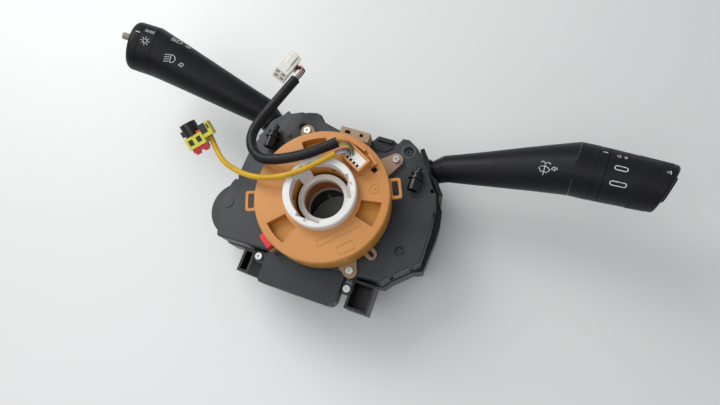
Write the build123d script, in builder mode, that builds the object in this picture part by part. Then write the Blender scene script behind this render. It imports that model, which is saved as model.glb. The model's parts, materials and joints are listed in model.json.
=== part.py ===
from build123d import *
from dataclasses import dataclass
import math
import os

# A combination stalk switch for a steering column, in millimetres.
# The origin is on the column axis at the bottom of the clamp collar, +Z points to the driver,
# the right stalk leans to +X and +Y is the top of the steering wheel.

# ---- driving dimensions: housing ----------------------------------------------------------------
COLUMN_R = 26.5  # bore of the clamp collar, on the steering column's outer tube
COLLAR_WALL = 3.5
COLLAR_SLIT = 3.0
COLLAR_SLIT_ANGLE = 129.0
COLUMN_TUBE_TOP_Z = 46.0
FLOOR_Z = 14.0
PARTING_Z = 39.0
COVER_TOP_Z = 66.0
WALL = 2.5
RIM_STEP = 0.8  # the lower housing stands proud of the cover by this much
COVER_EDGE_R = 1.4
OUTLINE_CORNER_R = 1.3
COVER_HOLE_R = 38.0
FOOT_R = 4.0
FOOT_PLACES = [(-56, 30), (60, 22), (56, -30)]

# ---- driving dimensions: fits -------------------------------------------------------------------
GAP = 0.35  # between parts that move past each other
RUN = 0.05  # radial clearance of a shaft in its bearing
SEAT = 0.15  # radial clearance of a screw in a hole

# ---- driving dimensions: fasteners --------------------------------------------------------------
SCREW_R = 1.6
SCREW_HEAD_R = 2.7
SCREW_HEAD_H = 2.2
RECESS_R = 1.2
RECESS_DEPTH = 1.2
BOSS_WALL = 2.3
CLAMP_SCREW_R = 2.5

# ---- driving dimensions: clock spring -----------------------------------------------------------
DISC_R = 50.0
DISC_TOP_Z = 92.0
DISC_T = 3.0
SKIRT_WALL = 2.0
STATOR_BASE_T = 2.2
EAR_T = 4.0
EAR_R = 5.3
STATOR_WALL = 1.5
SLEEVE_R = 16.2
SLEEVE_WALL = 2.8
HUB_TOP_Z = 101.0
HUB_OUTER_R = 26.6
HUB_OPENING_R = 21.4
HUB_RING_TOP_Z = 81.6
HUB_BORE_R = 15.2
HUB_RING_R = 19.2
POCKET_INNER_R = 29.3
POCKET_OUTER_R = DISC_R - 5.8
POCKET_ANGLES = (-2.5, 118.0, 239.0)
POCKET_SPAN = 25.0
POCKET_DEPTH = 8.0
POCKET_WALL = 1.2

# ---- driving dimensions: steering angle sensor --------------------------------------------------
GEAR_MODULE = 0.9
RING_TEETH = 66
GEAR_A_TEETH = 26
GEAR_B_TEETH = 28
GEAR_SEPARATION_TEETH = 7
GEAR_BACKLASH = 0.30
GEAR_FACE = 4.0
RING_GEAR_Z = 52.0
SENSOR_FLOOR_Z = 46.0
SENSOR_TOP_Z = 62.0
SENSOR_LID_T = 1.5
SENSOR_X = (-32.0, 30.6)
SENSOR_Y = (-72.0, -24.0)
SENSOR_CORNERS = (3.0, 6.5)  # left and right
SENSOR_WALL = 1.6
SENSOR_EAR_R = 4.4

# ---- driving dimensions: stalks -----------------------------------------------------------------
CARRIER_R = 7.6
SLOT_HALF = 8.6
CARRIER_LID_T = 1.9
TRUNNION_R = 3.0
SHELL_WALL = 1.6
PLATE_T = 2.2
TONGUE_T = 5.6
TONGUE_R = 4.4
CROSS_PIN_R = 1.5
STEM_R = 4.3
TILT_LIMIT = 8.0
PULL_LIMIT = 6.0
STALK_WALL = 2.4
FLANGE_T = 3.4
FLANGE_SPAN = {"left": (-16.0, 17.0), "right": (-24.9, 16.4)}
FLANGE_Z = (22.0, 57.5)
FLANGE_OFF = RIM_STEP + GAP
NOSE_HALF = {"left": 12.8, "right": 10.2}
ROOT_R = {"left": 10.4, "right": 9.2}
RING_GAP = 0.35

# ---- outlines -----------------------------------------------------------------------------------
COVER_OUTLINE = [
    (-60.4, 61.6), (-48.0, 67.3), (-35.3, 70.3), (-30.9, 69.4), (-25.9, 64.3), (-12.6, 61.3),
    (14.9, 59.1), (19.4, 64.6), (32.0, 65.8), (36.2, 63.3), (38.4, 68.9), (43.9, 69.3),
    (52.4, 64.2), (65.4, 49.0), (72.3, 38.3), (77.2, 32.6), (79.6, 23.8), (81.2, 5.0),
    (81.0, -20.3), (62.6, -37.2), (57.9, -43.4), (36.0, -45.2), (-35.5, -48.0), (-74.4, -49.4),
    (-81.7, -28.4), (-80.4, -6.5), (-77.4, 0.5), (-77.0, 20.9), (-73.8, 37.0), (-70.7, 46.0),
]
RIM_NOTCHES = [(-44.5, 68.4, 14), (72.9, 34.2, -50), (80.0, 17.2, -83), (75.6, -25.4, 222),
               (63.2, -36.2, 225),
               (-77.3, -1.2, 95), (-74.6, 35.0, 72)]
NOTCH_WIDTH = 3.2
NOTCH_DEPTH = 2.4
BULGE_CENTRE = (-76.2, -21.8)
BULGE_R = 24.0
BULGE_TOP_Z = 40.0
FLARE = [(72.0, 39.0), (76.8, 38.3), (83.6, 28.2), (85.6, 17.6), (85.8, 4.9), (83.8, -22.4), (78.0, -25.0)]

COVER_SCREWS = [(46.3, 59.6), (63.9, -17.2), (-41.4, 54.9)]
STATOR_SCREW_PLACES = ((12.85, 50.9), (5.2, -51.5), (12.5, 124.7))  # beyond the disc, and the angle
SENSOR_SCREWS = [(-38.3, -53.8), (34.9, -55.4)]
PODS = {"left": ((-51.6, -42.2), (-69.0, -50.6)), "right": ((37.0, 55.0), (-69.0, -46.6))}
POD_Z = (30.0, 58.0)
POD_WALL = 2.0


@dataclass
class Stalk:
    """One lever: its pivot, the neck where it leaves the flange, and its direction beyond the neck."""

    side: str
    pivot: Vector
    neck: Vector
    flange_r: float
    edge_angle: float
    edge_distance: float
    end: Vector
    end_dir: Vector
    neck_r: float
    end_r: float

    def root(self):
        return (self.neck - self.pivot).normalized()

    def frame(self):
        """Plane at the pivot: x along the lever in plan, z up."""
        plan = Vector(self.root().X, self.root().Y, 0).normalized()
        return Plane(origin=self.pivot, x_dir=plan, z_dir=(0, 0, 1))

    def edge_frame(self):
        """Plane at the pivot's foot on the cover's edge: x outwards, z up."""
        out = Vector(math.cos(math.radians(self.edge_angle)), math.sin(math.radians(self.edge_angle)), 0)
        return Plane(origin=self.pivot + out * self.edge_distance, x_dir=out, z_dir=(0, 0, 1))

    def stem_plane(self, along):
        """Plane square to the root, this far from the pivot, its x level."""
        level = Vector(0, 0, 1).cross(self.root()).normalized()
        return Plane(origin=self.pivot + self.root() * along, x_dir=level, z_dir=self.root())

    def end_plane(self, along):
        """Plane square to the knob's axis, this far from the end of the lever's body, its x level."""
        level = Vector(0, 0, 1).cross(self.end_dir).normalized()
        return Plane(origin=self.end + self.end_dir * along, x_dir=level, z_dir=self.end_dir)


RIGHT = Stalk("right", Vector(55.5, 48.0, 42.0), Vector(77.2, 60.1, 50.0), 19.5, 37.5, 8.5,
              Vector(166.0, 78.0, 76.0), Vector(0.985, -0.018, 0.171).normalized(), 10.75, 19.9)
LEFT = Stalk("left", Vector(-58.5, 47.9, 41.5), Vector(-87.2, 64.7, 50.0), 22.5, 150.4, 8.6,
             Vector(-183.8, 78.9, 78.0), Vector(-56, -6, 21).normalized(), 12.2, 20.5)
STALKS = (LEFT, RIGHT)


# ---- helpers ------------------------------------------------------------------------------------
def finish(builder, name):
    """Label a finished sub-part and write it as one STEP file."""
    builder.part.label = name
    export_step(builder.part, f"parts/{name}.step")


def polar(radius, angle):
    return (radius * math.cos(math.radians(angle)), radius * math.sin(math.radians(angle)))


STATOR_SCREWS = [polar(DISC_R + beyond, angle) for beyond, angle in STATOR_SCREW_PLACES]


def aimed(origin, bearing, pitch, roll):
    """Plane whose x axis points along a bearing, raised by a pitch and rolled about itself."""
    forward = Vector(*polar(math.cos(math.radians(pitch)), bearing), math.sin(math.radians(pitch)))
    left = Vector(*polar(1, bearing + 90), 0).rotate(Axis((0, 0, 0), tuple(forward)), roll)
    return Plane(origin=origin, x_dir=forward, z_dir=forward.cross(left))


def block(frame, x, y, z, mode=Mode.ADD):
    """Box between two limits along each axis of a frame."""
    middle = ((x[0] + x[1]) / 2, (y[0] + y[1]) / 2, (z[0] + z[1]) / 2)
    with Locations(frame.location * Location(middle)):
        Box(x[1] - x[0], y[1] - y[0], z[1] - z[0], mode=mode)


def rod(frame, x, y, z, radius, mode=Mode.ADD):
    """Cylinder along a frame's z axis between two heights."""
    with Locations(frame.location * Location((x, y, z[0]))):
        Cylinder(radius, z[1] - z[0], align=(Align.CENTER, Align.CENTER, Align.MIN), mode=mode)


def tube(frame, z, outer, inner):
    """Ring between two heights of a frame."""
    rod(frame, 0, 0, z, outer)
    rod(frame, 0, 0, z, inner, mode=Mode.SUBTRACT)


def cover_outline(height, grow=0.0):
    """The cover's outline with rounded corners, at a height, grown or shrunk all round."""
    with BuildSketch(Plane.XY.offset(height)) as outline:
        with BuildLine():
            Polyline(*COVER_OUTLINE, close=True)
        make_face()
        fillet(outline.vertices(), OUTLINE_CORNER_R)
        if grow:
            offset(amount=grow, kind=Kind.INTERSECTION)
    return outline.sketch


def flare_outline(height, grow=0.0):
    """The lower housing's flare beyond the cover on the right."""
    with BuildSketch(Plane.XY.offset(height)) as outline:
        with BuildLine():
            Polyline(*FLARE, close=True)
        make_face()
        if grow:
            offset(amount=grow, kind=Kind.INTERSECTION)
    return outline.sketch


def annular_sector(height, inner, outer, angle, span):
    """Sketch of a sector of a ring, centred on an angle."""
    low, high = angle - span / 2, angle + span / 2
    with BuildSketch(Plane.XY.offset(height)) as sector:
        with BuildLine():
            CenterArc((0, 0), inner, low, span)
            Line(polar(inner, high), polar(outer, high))
            CenterArc((0, 0), outer, low, span)
            Line(polar(inner, low), polar(outer, low))
        make_face()
    return sector.sketch


def screws(places, head_z, length):
    """A group of pan head screws with a cross recess, heads resting at head_z."""
    with BuildPart() as group:
        for x, y in places:
            at = Plane(origin=(x, y, head_z))
            rod(at, 0, 0, (-length, 0), SCREW_R)
            rod(at, 0, 0, (0, SCREW_HEAD_H), SCREW_HEAD_R)
            for half_x, half_y in ((RECESS_R, RECESS_R / 3), (RECESS_R / 3, RECESS_R)):
                block(at, (-half_x, half_x), (-half_y, half_y), (SCREW_HEAD_H - RECESS_DEPTH, SCREW_HEAD_H),
                      mode=Mode.SUBTRACT)
    return group


def shell_window(stalk):
    """Cut where a switch module and its flange pass the housing's wall."""
    block(stalk.frame(), (SHELL_REAR - GAP, stalk.flange_r + WALL), (-SHELL_HALF - GAP, SHELL_HALF + GAP),
          (SHELL_LOW - GAP, SHELL_HIGH + GAP), mode=Mode.SUBTRACT)
    low, high = FLANGE_SPAN[stalk.side]
    block(stalk.edge_frame(), (FLANGE_OFF - GAP, FLANGE_OFF + FLANGE_T + GAP), (low - GAP, high + GAP),
          (FLANGE_Z[0] - stalk.pivot.Z - GAP, FLANGE_Z[1] - stalk.pivot.Z + GAP), mode=Mode.SUBTRACT)


os.makedirs("parts", exist_ok=True)

# ---- lower housing: tray, column tube, split collar, bulge, sensor pods, feet -------------------
SHELL_HALF = CARRIER_R + GAP + 0.6 + SHELL_WALL
SHELL_REAR = -16.0
SHELL_LOW = -SLOT_HALF - CARRIER_LID_T - GAP - PLATE_T
SHELL_HIGH = 16.6
COLLAR_R = COLUMN_R + COLLAR_WALL
LUG_REACH = 13.0
LUG_T = 5.0
LUG_Z = (1.0, FLOOR_Z)
SENSOR_SCREW_Z = 56.0
SENSOR_SCREW_LENGTH = 10.0
SCREW_POST_R = SCREW_R + BOSS_WALL
COVER_SCREW_HEAD_Z = 62.2
COVER_SCREW_LENGTH = 34.0
collar_frame = Plane(origin=(0, 0, 0), x_dir=(*polar(1, COLLAR_SLIT_ANGLE), 0), z_dir=(0, 0, 1))
BOARD_Z = 20.0
BOARD_T = 1.6
BOARD_X = (-70.0, -35.0)
BOARD_Y = (-34.0, 26.0)
BOARD_POST_R = 2.5
CONNECTOR_X = (-62.0, -38.0)
CONNECTOR_Y = (-24.0, 16.0)
CONNECTOR_LOW_Z = 2.0
CONNECTOR_WALL = 1.8
CONNECTOR_MIDDLE = ((CONNECTOR_X[0] + CONNECTOR_X[1]) / 2, (CONNECTOR_Y[0] + CONNECTOR_Y[1]) / 2)
PIN_R = 0.5
PIN_PITCH = 5.0
PIN_GRID = (2, 6)
PIN_SETBACK = 3.0
FLOOR_TOP_Z = FLOOR_Z + WALL

with BuildPart() as lower_housing:
    with BuildSketch(Plane.XY.offset(FLOOR_Z)) as tray_outline:
        add(cover_outline(0, RIM_STEP))
        with Locations(BULGE_CENTRE):
            Circle(BULGE_R)
        add(flare_outline(0))
    extrude(amount=PARTING_Z - FLOOR_Z)
    fillet(lower_housing.edges().group_by(Axis.Z)[0], COVER_EDGE_R)
    rod(Plane.XY, *BULGE_CENTRE, (PARTING_Z, BULGE_TOP_Z), BULGE_R)
    extrude(cover_outline(PARTING_Z, RIM_STEP), amount=WALL, mode=Mode.SUBTRACT)
    rod(Plane.XY, *BULGE_CENTRE, (FLOOR_TOP_Z, BULGE_TOP_Z - WALL), BULGE_R - WALL, mode=Mode.SUBTRACT)
    extrude(flare_outline(FLOOR_TOP_Z, -WALL), amount=PARTING_Z - WALL - FLOOR_TOP_Z, mode=Mode.SUBTRACT)
    extrude(cover_outline(FLOOR_TOP_Z, -WALL + RIM_STEP), amount=PARTING_Z, mode=Mode.SUBTRACT)
    # column tube and split collar
    rod(Plane.XY, 0, 0, (0, COLUMN_TUBE_TOP_Z), COLUMN_R + COLLAR_WALL)
    for side in (-1, 1):
        near, far = sorted((side * COLLAR_SLIT / 2, side * (COLLAR_SLIT / 2 + LUG_T)))
        block(collar_frame, (COLUMN_R + 1, COLLAR_R + LUG_REACH), (near, far), LUG_Z)
    rod(Plane.XY, 0, 0, (0, COLUMN_TUBE_TOP_Z), COLUMN_R, mode=Mode.SUBTRACT)
    block(collar_frame, (COLUMN_R - 1, COLLAR_R + LUG_REACH), (-COLLAR_SLIT / 2, COLLAR_SLIT / 2),
          (0, FLOOR_Z - 1), mode=Mode.SUBTRACT)
    clamp_axis = Plane(origin=collar_frame.from_local_coords((COLLAR_R + LUG_REACH / 2, 0, FLOOR_Z / 2)),
                       x_dir=collar_frame.x_dir, z_dir=collar_frame.y_dir)
    rod(clamp_axis, 0, 0, (-LUG_T * 2, LUG_T * 2), CLAMP_SCREW_R + SEAT, mode=Mode.SUBTRACT)
    # feet that locate the housing on the column bracket
    for x, y in FOOT_PLACES:
        rod(Plane.XY, x, y, (0, FLOOR_TOP_Z), FOOT_R)
    # posts for the cover screws and the circuit board, columns under the two switch modules
    for x, y in COVER_SCREWS:
        rod(Plane.XY, x, y, (FLOOR_Z + 1, PARTING_Z), SCREW_POST_R)
        rod(Plane.XY, x, y, (COVER_SCREW_HEAD_Z - COVER_SCREW_LENGTH - 1, PARTING_Z), SCREW_R,
            mode=Mode.SUBTRACT)
    for x in (BOARD_X[0] + 4, BOARD_X[1] - 4):
        for y in (BOARD_Y[0] + 4, BOARD_Y[1] - 4):
            rod(Plane.XY, x, y, (FLOOR_Z + 1, BOARD_Z), BOARD_POST_R)
    for stalk in STALKS:
        shell_window(stalk)
        block(stalk.frame(), (-12, 2), (-5, 5), (FLOOR_Z + 1 - stalk.pivot.Z, SHELL_LOW - BOARD_T))
    # connector shroud under the floor
    block(Plane.XY, CONNECTOR_X, CONNECTOR_Y, (CONNECTOR_LOW_Z, FLOOR_TOP_Z))
    block(Plane.XY, (CONNECTOR_X[0] + CONNECTOR_WALL, CONNECTOR_X[1] - CONNECTOR_WALL),
          (CONNECTOR_Y[0] + CONNECTOR_WALL, CONNECTOR_Y[1] - CONNECTOR_WALL), (CONNECTOR_LOW_Z, FLOOR_Z),
          mode=Mode.SUBTRACT)
    with Locations((*CONNECTOR_MIDDLE, FLOOR_Z)):
        with GridLocations(PIN_PITCH, PIN_PITCH, *PIN_GRID):
            Cylinder(PIN_R, WALL * 3, mode=Mode.SUBTRACT)
    # sensor pods, open at the top, on a bracket from the tray's wall, with a post for each sensor screw
    for pod_x, pod_y in PODS.values():
        block(Plane.XY, pod_x, pod_y, POD_Z)
        block(Plane.XY, (pod_x[0] + POD_WALL, pod_x[1] - POD_WALL),
              (pod_y[0] + POD_WALL, pod_y[1] - POD_WALL),
              (POD_Z[0] + POD_WALL, POD_Z[1]), mode=Mode.SUBTRACT)
        block(Plane.XY, (pod_x[0] + 2, pod_x[1] - 2), (pod_y[1] - 1, pod_y[1] + 5),
              (POD_Z[0], PARTING_Z - 1))
    for (x, y), pod in zip(SENSOR_SCREWS, PODS.values()):
        edge = pod[0][1] if x < 0 else pod[0][0]
        near, far = sorted((x, edge))
        block(Plane.XY, (near, far), (y - SCREW_POST_R, y + SCREW_POST_R), (POD_Z[0], SENSOR_SCREW_Z))
        rod(Plane.XY, x, y, (POD_Z[0], SENSOR_SCREW_Z), SCREW_POST_R)
        rod(Plane.XY, x, y, (SENSOR_SCREW_Z - SENSOR_SCREW_LENGTH - 1, SENSOR_SCREW_Z), SCREW_R,
            mode=Mode.SUBTRACT)
        rod(Plane.XY, x, y, (SENSOR_SCREW_Z, POD_Z[1] + 1), SENSOR_EAR_R + GAP, mode=Mode.SUBTRACT)
finish(lower_housing, "lower_housing")

# ---- top cover ----------------------------------------------------------------------------------
SENSOR_WINDOW_GAP = 0.8
TRIM_RING_R = 4.2
TRIM_RING_WIDTH = 0.6
TRIM_RING_DEPTH = 0.5
SCREW_WELL_R = 3.2
ROOF_Z = COVER_TOP_Z - WALL
STATOR_SCREW_LENGTH = 10.0
PAD_CENTRE = (-77.0, -21.7)
PAD_R = 5.2
PAD_H = 0.5

with BuildPart() as top_cover:
    extrude(cover_outline(PARTING_Z), amount=COVER_TOP_Z - PARTING_Z)
    fillet(top_cover.edges().group_by(Axis.Z)[-1], COVER_EDGE_R)
    extrude(cover_outline(PARTING_Z, -WALL), amount=ROOF_Z - PARTING_Z, mode=Mode.SUBTRACT)
    for x, y in COVER_SCREWS:
        rod(Plane.XY, x, y, (PARTING_Z, ROOF_Z + 1), SCREW_POST_R + 0.3)
    for x, y in STATOR_SCREWS:
        rod(Plane.XY, x, y, (COVER_TOP_Z - STATOR_SCREW_LENGTH + EAR_T + 2, COVER_TOP_Z), SCREW_POST_R)
    rod(Plane.XY, *PAD_CENTRE, (ROOF_Z, COVER_TOP_Z + PAD_H), PAD_R)
    rod(Plane.XY, 0, 0, (PARTING_Z, COVER_TOP_Z + 1), COVER_HOLE_R, mode=Mode.SUBTRACT)
    for x, y in COVER_SCREWS:
        rod(Plane.XY, x, y, (PARTING_Z, COVER_SCREW_HEAD_Z), SCREW_R + SEAT, mode=Mode.SUBTRACT)
        rod(Plane.XY, x, y, (COVER_SCREW_HEAD_Z, COVER_TOP_Z + 1), SCREW_WELL_R, mode=Mode.SUBTRACT)
        with BuildSketch(Plane.XY.offset(COVER_TOP_Z - TRIM_RING_DEPTH)):
            with Locations((x, y)):
                Circle(TRIM_RING_R)
                Circle(TRIM_RING_R - TRIM_RING_WIDTH, mode=Mode.SUBTRACT)
        extrude(amount=TRIM_RING_DEPTH + 1, mode=Mode.SUBTRACT)
    for x, y in STATOR_SCREWS:
        rod(Plane.XY, x, y, (PARTING_Z, COVER_TOP_Z + 1), SCREW_R, mode=Mode.SUBTRACT)
    for x, y, turn in RIM_NOTCHES:
        notch = Plane(origin=(x, y, PARTING_Z), x_dir=(*polar(1, turn), 0), z_dir=(0, 0, 1))
        block(notch, (-NOTCH_WIDTH / 2, NOTCH_WIDTH / 2), (-NOTCH_DEPTH / 2, NOTCH_DEPTH / 2),
              (4, COVER_TOP_Z - PARTING_Z + 1), mode=Mode.SUBTRACT)
    block(Plane.XY, (SENSOR_X[0] - SENSOR_WINDOW_GAP, SENSOR_X[1] + SENSOR_WINDOW_GAP),
          (-60, SENSOR_Y[1] + 1),
          (SENSOR_FLOOR_Z - SENSOR_WINDOW_GAP, SENSOR_TOP_Z + SENSOR_WINDOW_GAP / 2), mode=Mode.SUBTRACT)
    for stalk in STALKS:
        shell_window(stalk)
finish(top_cover, "top_cover")

finish(screws(COVER_SCREWS, COVER_SCREW_HEAD_Z, COVER_SCREW_LENGTH), "cover_screws")

# ---- release tongue on the cover ----------------------------------------------------------------
TONGUE_PLATE = [(18.6, 63.0), (34.4, 63.6), (33.2, 57.5), (29.0, 53.6), (20.5, 53.2), (18.2, 57.0)]
TONGUE_PLATE_T = 1.0
TONGUE_BAR = (26.0, 62.4)
TONGUE_BAR_SIZE = (13.0, 3.4)
TONGUE_BAR_H = 2.6

with BuildPart() as release_tongue:
    with BuildSketch(Plane.XY.offset(COVER_TOP_Z)):
        with BuildLine():
            Polyline(*TONGUE_PLATE, close=True)
        make_face()
    extrude(amount=TONGUE_PLATE_T)
    with BuildSketch(Plane.XY.offset(COVER_TOP_Z + TONGUE_PLATE_T)):
        with Locations(TONGUE_BAR):
            SlotOverall(*TONGUE_BAR_SIZE)
    extrude(amount=TONGUE_BAR_H)
    fillet(release_tongue.edges().group_by(Axis.Z)[-1], 0.8)
finish(release_tongue, "release_tongue")

# ---- circuit board, connector pins, clamp screw and nut -----------------------------------------
CLAMP_NUT_R = 4.4
CLAMP_NUT_H = 4.0
CLAMP_HEAD_H = 5.0

with BuildPart() as circuit_board:
    block(Plane.XY, BOARD_X, BOARD_Y, (BOARD_Z, BOARD_Z + BOARD_T))
    for stalk in STALKS[:1]:
        block(stalk.frame(), (-12 - GAP, 2 + GAP), (-5 - GAP, 5 + GAP), (-50, 10), mode=Mode.SUBTRACT)
finish(circuit_board, "circuit_board")

with BuildPart() as connector_pins:
    with Locations((*CONNECTOR_MIDDLE, CONNECTOR_LOW_Z + PIN_SETBACK)):
        with GridLocations(PIN_PITCH, PIN_PITCH, *PIN_GRID):
            Cylinder(PIN_R, BOARD_Z - CONNECTOR_LOW_Z - PIN_SETBACK,
                     align=(Align.CENTER, Align.CENTER, Align.MIN))
finish(connector_pins, "connector_pins")

with BuildPart() as clamp_screw:
    rod(clamp_axis, 0, 0, (-LUG_T - COLLAR_SLIT / 2, LUG_T + COLLAR_SLIT / 2 + CLAMP_NUT_H + 1),
        CLAMP_SCREW_R)
    rod(clamp_axis, 0, 0, (-LUG_T - COLLAR_SLIT / 2 - CLAMP_HEAD_H, -LUG_T - COLLAR_SLIT / 2), CLAMP_NUT_R)
    with BuildSketch(clamp_axis.offset(-LUG_T - COLLAR_SLIT / 2 - CLAMP_HEAD_H)):
        RegularPolygon(CLAMP_SCREW_R - 0.2, 6)
    extrude(amount=2.5, mode=Mode.SUBTRACT)
finish(clamp_screw, "clamp_screw")

with BuildPart() as clamp_nut:
    with BuildSketch(clamp_axis.offset(LUG_T + COLLAR_SLIT / 2)):
        RegularPolygon(CLAMP_NUT_R, 6)
        Circle(CLAMP_SCREW_R, mode=Mode.SUBTRACT)
    extrude(amount=CLAMP_NUT_H)
finish(clamp_nut, "clamp_nut")

# ---- shroud screws lying on the cover, each with its black grommet ------------------------------
COWL_SCREWS = [(59.1, 42.0), (-60.0, 42.0)]
GROMMET_DISC_R = 5.9
COWL_AXIS_Z = COVER_TOP_Z + GROMMET_DISC_R + 0.1
GROMMET_STEPS = [(-1.5, 0.0, 3.4), (0.0, 1.0, 4.9), (1.0, 4.0, 4.2), (4.0, 5.0, GROMMET_DISC_R),
                 (5.0, 13.4, 4.5)]
GROMMET_BORE_R = 3.0
COWL_THREAD_R = 1.9
COWL_TIP_R = 0.4
COWL_TIP_X = -7.3
COWL_TAPER = 1.8
COWL_HEAD_X = (9.0, 11.0)  # the head fills the grommet's bore from here


def cowl_frame(place):
    """Frame whose z runs along the screw from its thread to its head, level above the cover."""
    return Plane(origin=(*place, COWL_AXIS_Z), x_dir=(0, 0, 1), z_dir=(0, -1, 0))


with BuildPart() as grommets:
    for place in COWL_SCREWS:
        for low, high, radius in GROMMET_STEPS:
            rod(cowl_frame(place), 0, 0, (low, high), radius)
        rod(cowl_frame(place), 0, 0, (GROMMET_STEPS[0][0] - 1, COWL_HEAD_X[0]), COWL_THREAD_R,
            mode=Mode.SUBTRACT)
        rod(cowl_frame(place), 0, 0, (COWL_HEAD_X[0], GROMMET_STEPS[-1][1] + 1), GROMMET_BORE_R,
            mode=Mode.SUBTRACT)
finish(grommets, "shroud_screw_grommets")

with BuildPart() as cowl_screws:
    for place in COWL_SCREWS:
        rod(cowl_frame(place), 0, 0, (COWL_TIP_X + COWL_TAPER, COWL_HEAD_X[0]), COWL_THREAD_R)
        with Locations(cowl_frame(place).location * Location((0, 0, COWL_TIP_X + COWL_TAPER / 2))):
            Cone(COWL_TIP_R, COWL_THREAD_R, COWL_TAPER)
        rod(cowl_frame(place), 0, 0, COWL_HEAD_X, GROMMET_BORE_R - SEAT)
finish(cowl_screws, "shroud_screws")

# ---- steering angle sensor ----------------------------------------------------------------------
RING_PITCH_R = GEAR_MODULE * RING_TEETH / 2
GEARS = {"a": (GEAR_A_TEETH, -1), "b": (GEAR_B_TEETH, 1)}
GEAR_PIN_R = 2.0
GEAR_HUB_R = 4.5
MAGNET_R = 2.6
MAGNET_H = 1.6
SENSOR_FLOOR_T = 2.0
SENSOR_EAR_T = 2.0
SENSOR_BOARD_T = 1.2
SENSOR_BOARD_Y = (-67.0, -54.5)
BOARD_LEDGE_H = 3.0


def gear_place(teeth, side):
    """Centre of a measuring gear, both in mesh with the ring at whole tooth spacings from each other."""
    turn = -90 + side * GEAR_SEPARATION_TEETH * 180 / RING_TEETH
    return polar(RING_PITCH_R + GEAR_MODULE * teeth / 2, turn), turn


def gear_face(teeth, start_angle, centre=(0, 0)):
    """Straight-flanked teeth; one tooth's middle lies at start_angle."""
    pitch_r = GEAR_MODULE * teeth / 2
    half = (math.pi * GEAR_MODULE / 2 - GEAR_BACKLASH) / 2
    flank = math.tan(math.radians(20))
    steps = [(-1.15, 1), (0, 1), (0.8, 1), (0.8, -1), (0, -1), (-1.15, -1)]
    outline = []
    for tooth in range(teeth):
        middle = start_angle + tooth * 360 / teeth
        for height, hand in reversed(steps):
            radius = pitch_r + height * GEAR_MODULE
            width = half - height * GEAR_MODULE * flank
            turn = middle + hand * math.degrees(width / radius)
            point = polar(radius, turn)
            outline.append((centre[0] + point[0], centre[1] + point[1]))
    return outline


def sensor_outline(height):
    """The sensor's outline: a rectangle with its two lower corners rounded."""
    with BuildSketch(Plane.XY.offset(height)) as outline:
        with BuildLine():
            Polyline((SENSOR_X[0], SENSOR_Y[0]), (SENSOR_X[1], SENSOR_Y[0]),
                     (SENSOR_X[1], SENSOR_Y[1]), (SENSOR_X[0], SENSOR_Y[1]), close=True)
        make_face()
        fillet(outline.vertices().group_by(Axis.Y)[0].sort_by(Axis.X)[-1], SENSOR_CORNERS[1])
        fillet(outline.vertices().group_by(Axis.Y)[0].sort_by(Axis.X)[0], SENSOR_CORNERS[0])
    return outline.sketch


with BuildPart() as sensor_housing:
    extrude(sensor_outline(SENSOR_FLOOR_Z), amount=SENSOR_TOP_Z - SENSOR_LID_T - SENSOR_FLOOR_Z)
    for (x, y), side in zip(SENSOR_SCREWS, (1, -1)):
        rod(Plane.XY, x, y, (SENSOR_SCREW_Z, SENSOR_SCREW_Z + SENSOR_EAR_T), SENSOR_EAR_R)
        inner = SENSOR_X[0] + 1 if side > 0 else SENSOR_X[1] - 1
        near, far = sorted((x, inner))
        block(Plane.XY, (near, far), (y - SENSOR_EAR_R, y + SENSOR_EAR_R),
              (SENSOR_SCREW_Z, SENSOR_SCREW_Z + SENSOR_EAR_T))
        rod(Plane.XY, x, y, (SENSOR_SCREW_Z, SENSOR_SCREW_Z + SENSOR_EAR_T), SCREW_R + SEAT,
            mode=Mode.SUBTRACT)
    block(Plane.XY, (SENSOR_X[0] + SENSOR_WALL, SENSOR_X[1] - SENSOR_WALL),
          (SENSOR_Y[0] + SENSOR_WALL, SENSOR_Y[1] + 1),
          (SENSOR_FLOOR_Z + SENSOR_FLOOR_T, SENSOR_TOP_Z), mode=Mode.SUBTRACT)
    for x in (SENSOR_X[0] + SENSOR_WALL + 1.5, SENSOR_X[1] - SENSOR_WALL - 1.5):
        block(Plane.XY, (x - 2, x + 2), SENSOR_BOARD_Y,
              (SENSOR_FLOOR_Z + 1, SENSOR_FLOOR_Z + SENSOR_FLOOR_T + BOARD_LEDGE_H))
    for teeth, side in GEARS.values():
        (x, y), _ = gear_place(teeth, side)
        rod(Plane.XY, x, y, (SENSOR_FLOOR_Z + 1, RING_GEAR_Z - GAP), GEAR_HUB_R)
        rod(Plane.XY, x, y, (SENSOR_FLOOR_Z + 1, RING_GEAR_Z + GEAR_FACE), GEAR_PIN_R)
    rod(Plane.XY, 0, 0, (SENSOR_FLOOR_Z - 1, RING_GEAR_Z - 1), COLLAR_R + GAP, mode=Mode.SUBTRACT)
finish(sensor_housing, "sensor_housing")

with BuildPart() as sensor_cover:
    extrude(sensor_outline(SENSOR_TOP_Z - SENSOR_LID_T), amount=SENSOR_LID_T)
    rod(Plane.XY, 0, 0, (SENSOR_TOP_Z - 3, SENSOR_TOP_Z + 1), COLLAR_R + GAP, mode=Mode.SUBTRACT)
finish(sensor_cover, "sensor_cover")

with BuildPart() as sensor_board:
    ledge_top = SENSOR_FLOOR_Z + SENSOR_FLOOR_T + BOARD_LEDGE_H
    block(Plane.XY, (SENSOR_X[0] + SENSOR_WALL + GAP, SENSOR_X[1] - SENSOR_WALL - GAP), SENSOR_BOARD_Y,
          (ledge_top, ledge_top + SENSOR_BOARD_T))
finish(sensor_board, "sensor_board")

finish(screws(SENSOR_SCREWS, SENSOR_SCREW_Z + SENSOR_EAR_T, SENSOR_SCREW_LENGTH), "sensor_screws")

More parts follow.
